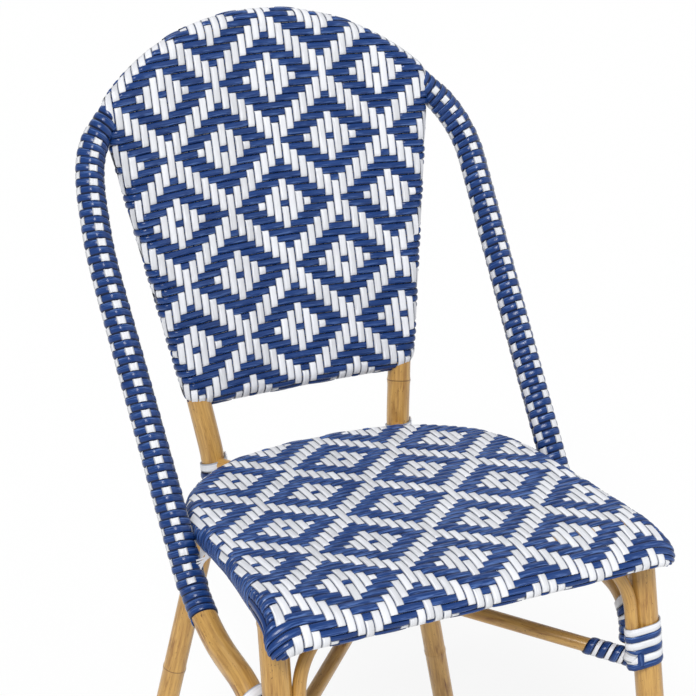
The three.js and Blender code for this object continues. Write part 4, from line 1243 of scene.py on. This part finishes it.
class BraidedLoops(bpy.types.Operator):
    """A blue strap wound round each outer loop, going over and under five lengthwise white strips."""
    bl_idname = "chair.braided_loops"
    bl_label = "Braided loops"

    # Height of the strap off the sleeve's middle and its rise over a strip, whose slope lies this many
    # radians from the strip's middle
    STRAP_LOW, STRAP_RISE = -0.45, 1.15
    SLOPE_END, SLOPE = 0.52, 0.22
    # Height of a strip where the strap covers it and where it shows
    STRIP_LOW, STRIP_HIGH = -0.55, 0.6

    def execute(self, context):
        radius = LOOP_WEAVE_INNER + LOOP_WEAVE / 2
        for side, sign in SIDES.items():
            for part, colour, lay in (("rings", "blue", self.strap), ("strips", "white", self.strips)):
                strands = Strands()
                lay(strands, side, radius)
                rolled(f"{side}_loop_{part}", strands, loop_line(sign), radius, f"{colour}_weave",
                       f"{side}_loop_weave", LOOP_SIDE_WAY)
        return {"FINISHED"}

    def along(self, side, turns):
        return np.interp(turns, *LOOP_TURNS[side])

    def angle(self, side, turns, place):
        """Angle round the loop of a place on a turn, both in turns, in radians."""
        twist = LOOP_FIRST_STRIP[side] + LOOP_TWIST[side] * turns
        return np.radians(twist) + SIDES[side] * place * FULL_TURN

    def crossings(self, side):
        """Each strip's place round the loop, with the turns that cross it and whether they ride over it."""
        places = np.array(LOOP_STRIPS[side]) / 360
        turns = range(PLAIN_RINGS, LOOP_TURNS[side][0][-1] - LOOP_PLAIN_END)
        return [(place, [(turn, (turn * len(places) + m) % 2 == 0) for turn in turns])
                for m, place in enumerate(places)]

    def strap(self, strands, side, radius, steps=30):
        """One strap from end to end; it rides up where it goes over a strip."""
        last = LOOP_TURNS[side][0][-1]
        turns = np.linspace(0, last, last * steps + 1)
        heights = np.full(len(turns), self.STRAP_LOW)
        for place, crossings in self.crossings(side):
            for turn, rides in crossings:
                if rides:
                    off = np.abs(turns - turn - place) * FULL_TURN
                    heights += self.STRAP_RISE * np.clip((self.SLOPE_END - off) / self.SLOPE, 0, 1)
        angles = self.angle(side, turns, turns)
        centres = np.column_stack([self.along(side, turns), angles * radius, heights])
        strands.add(centres, (1, 0, 0), round_section(8.8, 1.7), 0.5)

    def strips(self, strands, side, radius):
        """The lengthwise strips, each low under the strap and high where it shows."""
        for m, (place, crossings) in enumerate(self.crossings(side)):
            centres = [
                (self.along(side, turn + place + step), self.angle(side, turn + place, place) * radius,
                 self.STRIP_LOW if rides else self.STRIP_HIGH)
                for turn, rides in crossings for step in (-0.36, 0.0, 0.36)
            ]
            strands.add(centres, (0, 1, 0), flat_section(8.9, 0.9), 0.3 + 0.1 * m)


class WoundJoints(bpy.types.Operator):
    """Flat straps wound round the joints, white and blue by turns."""
    bl_idname = "chair.wound_joints"
    bl_label = "Wound joints"

    def execute(self, context):
        for side, sign in SIDES.items():
            self.joint(side, sign)
            self.brace(side, sign)
            self.stretcher(side, sign)
            self.collar(side, sign)
        return {"FINISHED"}

    def joint(self, side, sign):
        """One belt round the front leg and the corner brace beside it."""
        path = mirrored(np.linspace(FRONT_LEG_TOP, FRONT_FOOT, 30), sign)
        start = height_point(path, SEAT_HEIGHT - 113.3)[0]
        along = unit(path[-1] - path[0])
        across = unit(np.array([1.0, 0, 0]) - along * along[0])
        lift = np.cross(along, across)
        step = np.array([sign * BRACE_OUT, BRACE_BEHIND, 0.0])
        straps = Straps(TUBE_RADIUS, belt_radius(
            FRONT_LEG_CANE, float(step @ across), float(step @ lift), BRACE_RADIUS, STRAP_STAND))
        pitch = 14.3
        straps.wind("white", start, 2.5, pitch, width=7.8, thickness=1.3, level=0.2)
        straps.wind("blue", start + 7.2, 2.57, pitch, width=7.2, thickness=1.8, level=0.2)
        # The strap's end comes up over the lowest turns beside a white one that leads to the stretcher
        inner = 142 if sign > 0 else 38
        upright = (start + 25.5, inner), (start + 37, inner)
        inwards = (start + 29.5, inner + sign * 9), (start + 25, inner + sign * 62)
        straps.patch("blue", upright, width=5.2, thickness=1.5, stand=1.5)
        straps.patch("white", inwards, width=10.4, thickness=1.3, stand=1.3)
        straps.roll(f"{side}_joint", path)

    def brace(self, side, sign):
        """The end of the loop's side brace behind the front leg."""
        path = loop_line(sign)
        start = np.linalg.norm(np.diff(path, axis=0), axis=1).sum() - 51
        straps = Straps(TUBE_RADIUS)
        pitch = 17
        straps.wind("white", start, 2, pitch, width=8.6, thickness=1.3)
        straps.wind("blue", start + 8.5, 2.2, pitch, width=8.6, thickness=1.8)
        # Beyond them the blue strap lies close, turn by turn
        straps.wind("blue", start + 25, 3, pitch=8, width=8, thickness=1.8)
        straps.roll(f"{side}_brace", path, LOOP_SIDE_WAY)

    def stretcher(self, side, sign):
        """The stretcher's end at the front leg."""
        straps = Straps(STRETCHER_RADIUS, lambda angle: STRETCHER_CANE + STRAP_STAND)
        pitch = 13.2
        straps.wind("white", 21, 3, pitch, width=4.4, thickness=1.2, sense=-sign)
        straps.wind("blue", 14.4, 4, pitch, width=9.6, thickness=1.9, sense=-sign)
        straps.roll(f"{side}_stretcher", stretcher_path(sign))

    def collar(self, side, sign):
        """The upright behind the seat, where the stub meets it."""
        path = mirrored(rear_leg_path(), sign)
        low, high = (height_point(path, SEAT_HEIGHT - drop)[0] for drop in (32, 22))
        straps = Straps(TUBE_RADIUS)
        turns, pitch, first = 1.1, 8.5, math.radians(60)
        straps.wind("white", high, turns, pitch, width=9.6, thickness=1.3, first_angle=first)
        straps.wind("blue", low, turns, pitch, width=9.4, thickness=1.8, first_angle=first)
        # A white strip comes from behind over both and ends at the seat
        straps.patch("white", ((high + 12, 10), (low + 1, -95)), width=5.5, thickness=1.2, stand=1.6)
        straps.roll(f"{side}_collar", path)


class LoopTies(bpy.types.Operator):
    """Fans of narrow white strips that tie each loop to the seat's edge."""
    bl_idname = "chair.loop_ties"
    bl_label = "Loop ties"

    # Half width and half thickness of a strip, round its section
    CORNERS = ((-0.75, -0.35), (0.75, -0.35), (0.75, 0.35), (-0.75, 0.35))

    def execute(self, context):
        on_loop = height_point(loop_path(), SEAT_HEIGHT - 43)[1]
        on_rim = np.array([rim_half_width(on_loop[1]), on_loop[1], RIM_HEIGHT])
        for side, sign in SIDES.items():
            strips = Strands()
            for front in (-7.0, 7.0):
                for k in range(6):
                    angle = math.radians(-4 - 19 * k)
                    start = on_loop + np.array([-6.0, front, -9.0 + 3.4 * k - 0.9 * front])
                    end = on_rim + 9.0 * np.array([math.cos(angle), 0.0, math.sin(angle)]) + (0, front, 0)
                    self.strip(strips, start, end, front)
            piece = mesh_object(f"{side}_tie_strips", metres(mirrored(np.vstack(strips.points), sign)),
                                faces=strips.faces if sign > 0 else [face[::-1] for face in strips.faces])
            store(piece.data, "lay", np.vstack(strips.lay))
            piece.data.materials.append(material_of("white_weave"))
            fit(piece, "white_weave", f"{side}_loop_tie")
        return {"FINISHED"}

    def strip(self, strips, start, end, front):
        """A narrow strip on edge, seen broad from the front, that bows out a little."""
        shares = np.linspace(0, 1, 7)[:, None]
        bow = np.array([0.0, math.copysign(1.4, front), 0.0]) * np.sin(math.pi * shares)
        centres = start + (end - start) * shares + bow
        along = unit(end - start)
        wide = unit(np.cross(along, [0.0, 1.0, 0.0]))
        thick = np.cross(along, wide)
        points = [centre + wide * a + thick * b for centre in centres for a, b in self.CORNERS]
        strips.points.append(np.array(points))
        lay = [(0.002 * i, 0.0, 0.5) for i in range(len(centres)) for _ in self.CORNERS]
        strips.lay.append(np.array(lay))
        strips.faces += tube_faces(strips.count, len(centres), len(self.CORNERS))
        strips.count += len(points)


class StudioStage(bpy.types.Operator):
    """Pale floor, soft studio light and the camera."""
    bl_idname = "chair.studio_stage"
    bl_label = "Stage, light and camera"

    # Direction it shines from, strength and angular size in degrees of each lamp
    LAMPS = {
        "key_lamp": ((-1.5, -2.0, 2.6), 2.2, 22),
        "fill_lamp": ((2.4, -1.6, 1.4), 0.55, 60),
        "rear_lamp": ((0.8, 2.4, 2.0), 0.5, 60),
    }

    def execute(self, context):
        scene, far = context.scene, 30.0
        floor = mesh_object("floor", [(-far, -far, 0), (far, -far, 0), (far, far, 0), (-far, far, 0)],
                            faces=[(0, 1, 2, 3)])
        floor.data.materials.append(white_backdrop("pale_floor"))
        self.world(scene)
        self.lamps(scene)
        self.camera(scene)
        scene.view_settings.view_transform = "Standard"
        return {"FINISHED"}

    def world(self, scene):
        """White for the camera, and a cooler and dimmer sky for the chair."""
        scene.world = bpy.data.worlds.new("studio")
        scene.world.use_nodes = True
        scene.world.node_tree.nodes.clear()
        node = partial(add_node, scene.world.node_tree)
        soft = node("ShaderNodeBackground", {"Color": (0.95, 0.97, 1.0, 1), "Strength": 0.45})
        white = node("ShaderNodeBackground", {"Color": (1, 1, 1, 1), "Strength": 1.0})
        light = node("ShaderNodeLightPath").outputs
        seen = node(MATH, (light["Is Camera Ray"], light["Is Transmission Ray"]), operation="MAXIMUM")
        node("ShaderNodeOutputWorld", {"Surface": node("ShaderNodeMixShader", (seen, soft, white))})

    def lamps(self, scene):
        for name, (towards, power, spread) in self.LAMPS.items():
            lamp = bpy.data.lights.new(name, "SUN")
            lamp.energy, lamp.angle = power, math.radians(spread)
            thing = bpy.data.objects.new(name, lamp)
            thing.location = towards
            thing.rotation_euler = Vector(towards).to_track_quat("Z", "Y").to_euler()
            scene.collection.objects.link(thing)

    def camera(self, scene):
        """The photo's camera, fitted to the crossings of the weave."""
        azimuth, elevation, roll = -0.4306, 0.3341, -0.0316
        focal_pixels, photo_pixels, sensor = 1804.4, 696, 36.0
        back = Vector((math.sin(azimuth) * math.cos(elevation),
                       -math.cos(azimuth) * math.cos(elevation), math.sin(elevation)))
        level = Vector((math.cos(azimuth), math.sin(azimuth), 0))
        tall = back.cross(level)
        right = level * math.cos(roll) + tall * math.sin(roll)
        up = tall * math.cos(roll) - level * math.sin(roll)
        data = bpy.data.cameras.new("photo_camera")
        data.sensor_width, data.lens = sensor, focal_pixels * sensor / photo_pixels
        camera = bpy.data.objects.new("photo_camera", data)
        turn = Matrix((right, up, back)).transposed().to_4x4()
        camera.matrix_world = Matrix.Translation(Vector(metres((-718.1, -1482.0, 1171.5)))) @ turn
        scene.collection.objects.link(camera)
        scene.camera = camera


OPERATORS = (FrameTubes, FootGlides, WovenBack, WovenSeat, BraidedLoops, WoundJoints, LoopTies, StudioStage)


class ChairPanel(bpy.types.Panel):
    """Lists the sizes, the colours and the steps of the chair."""
    bl_idname = "VIEW3D_PT_woven_chair"
    bl_label = "Woven bistro chair"
    bl_space_type = "VIEW_3D"
    bl_region_type = "UI"
    bl_category = "Chair"

    def draw(self, context):
        for group in (context.scene.chair_sizes, context.scene.chair_colours):
            for name in type(group).__annotations__:
                self.layout.prop(group, name)
        for kind in OPERATORS:
            self.layout.operator(kind.bl_idname)


CLASSES = (ChairSizes, ChairColours, *OPERATORS, ChairPanel)


def register():
    for kind in CLASSES:
        bpy.utils.register_class(kind)
    bpy.types.Scene.chair_sizes = bpy.props.PointerProperty(type=ChairSizes)
    bpy.types.Scene.chair_colours = bpy.props.PointerProperty(type=ChairColours)


def unregister():
    del bpy.types.Scene.chair_sizes
    del bpy.types.Scene.chair_colours
    for kind in reversed(CLASSES):
        bpy.utils.unregister_class(kind)


def main():
    register()
    for kind in OPERATORS:
        group, name = kind.bl_idname.split(".")
        getattr(getattr(bpy.ops, group), name)()


if __name__ == "__main__":
    main()
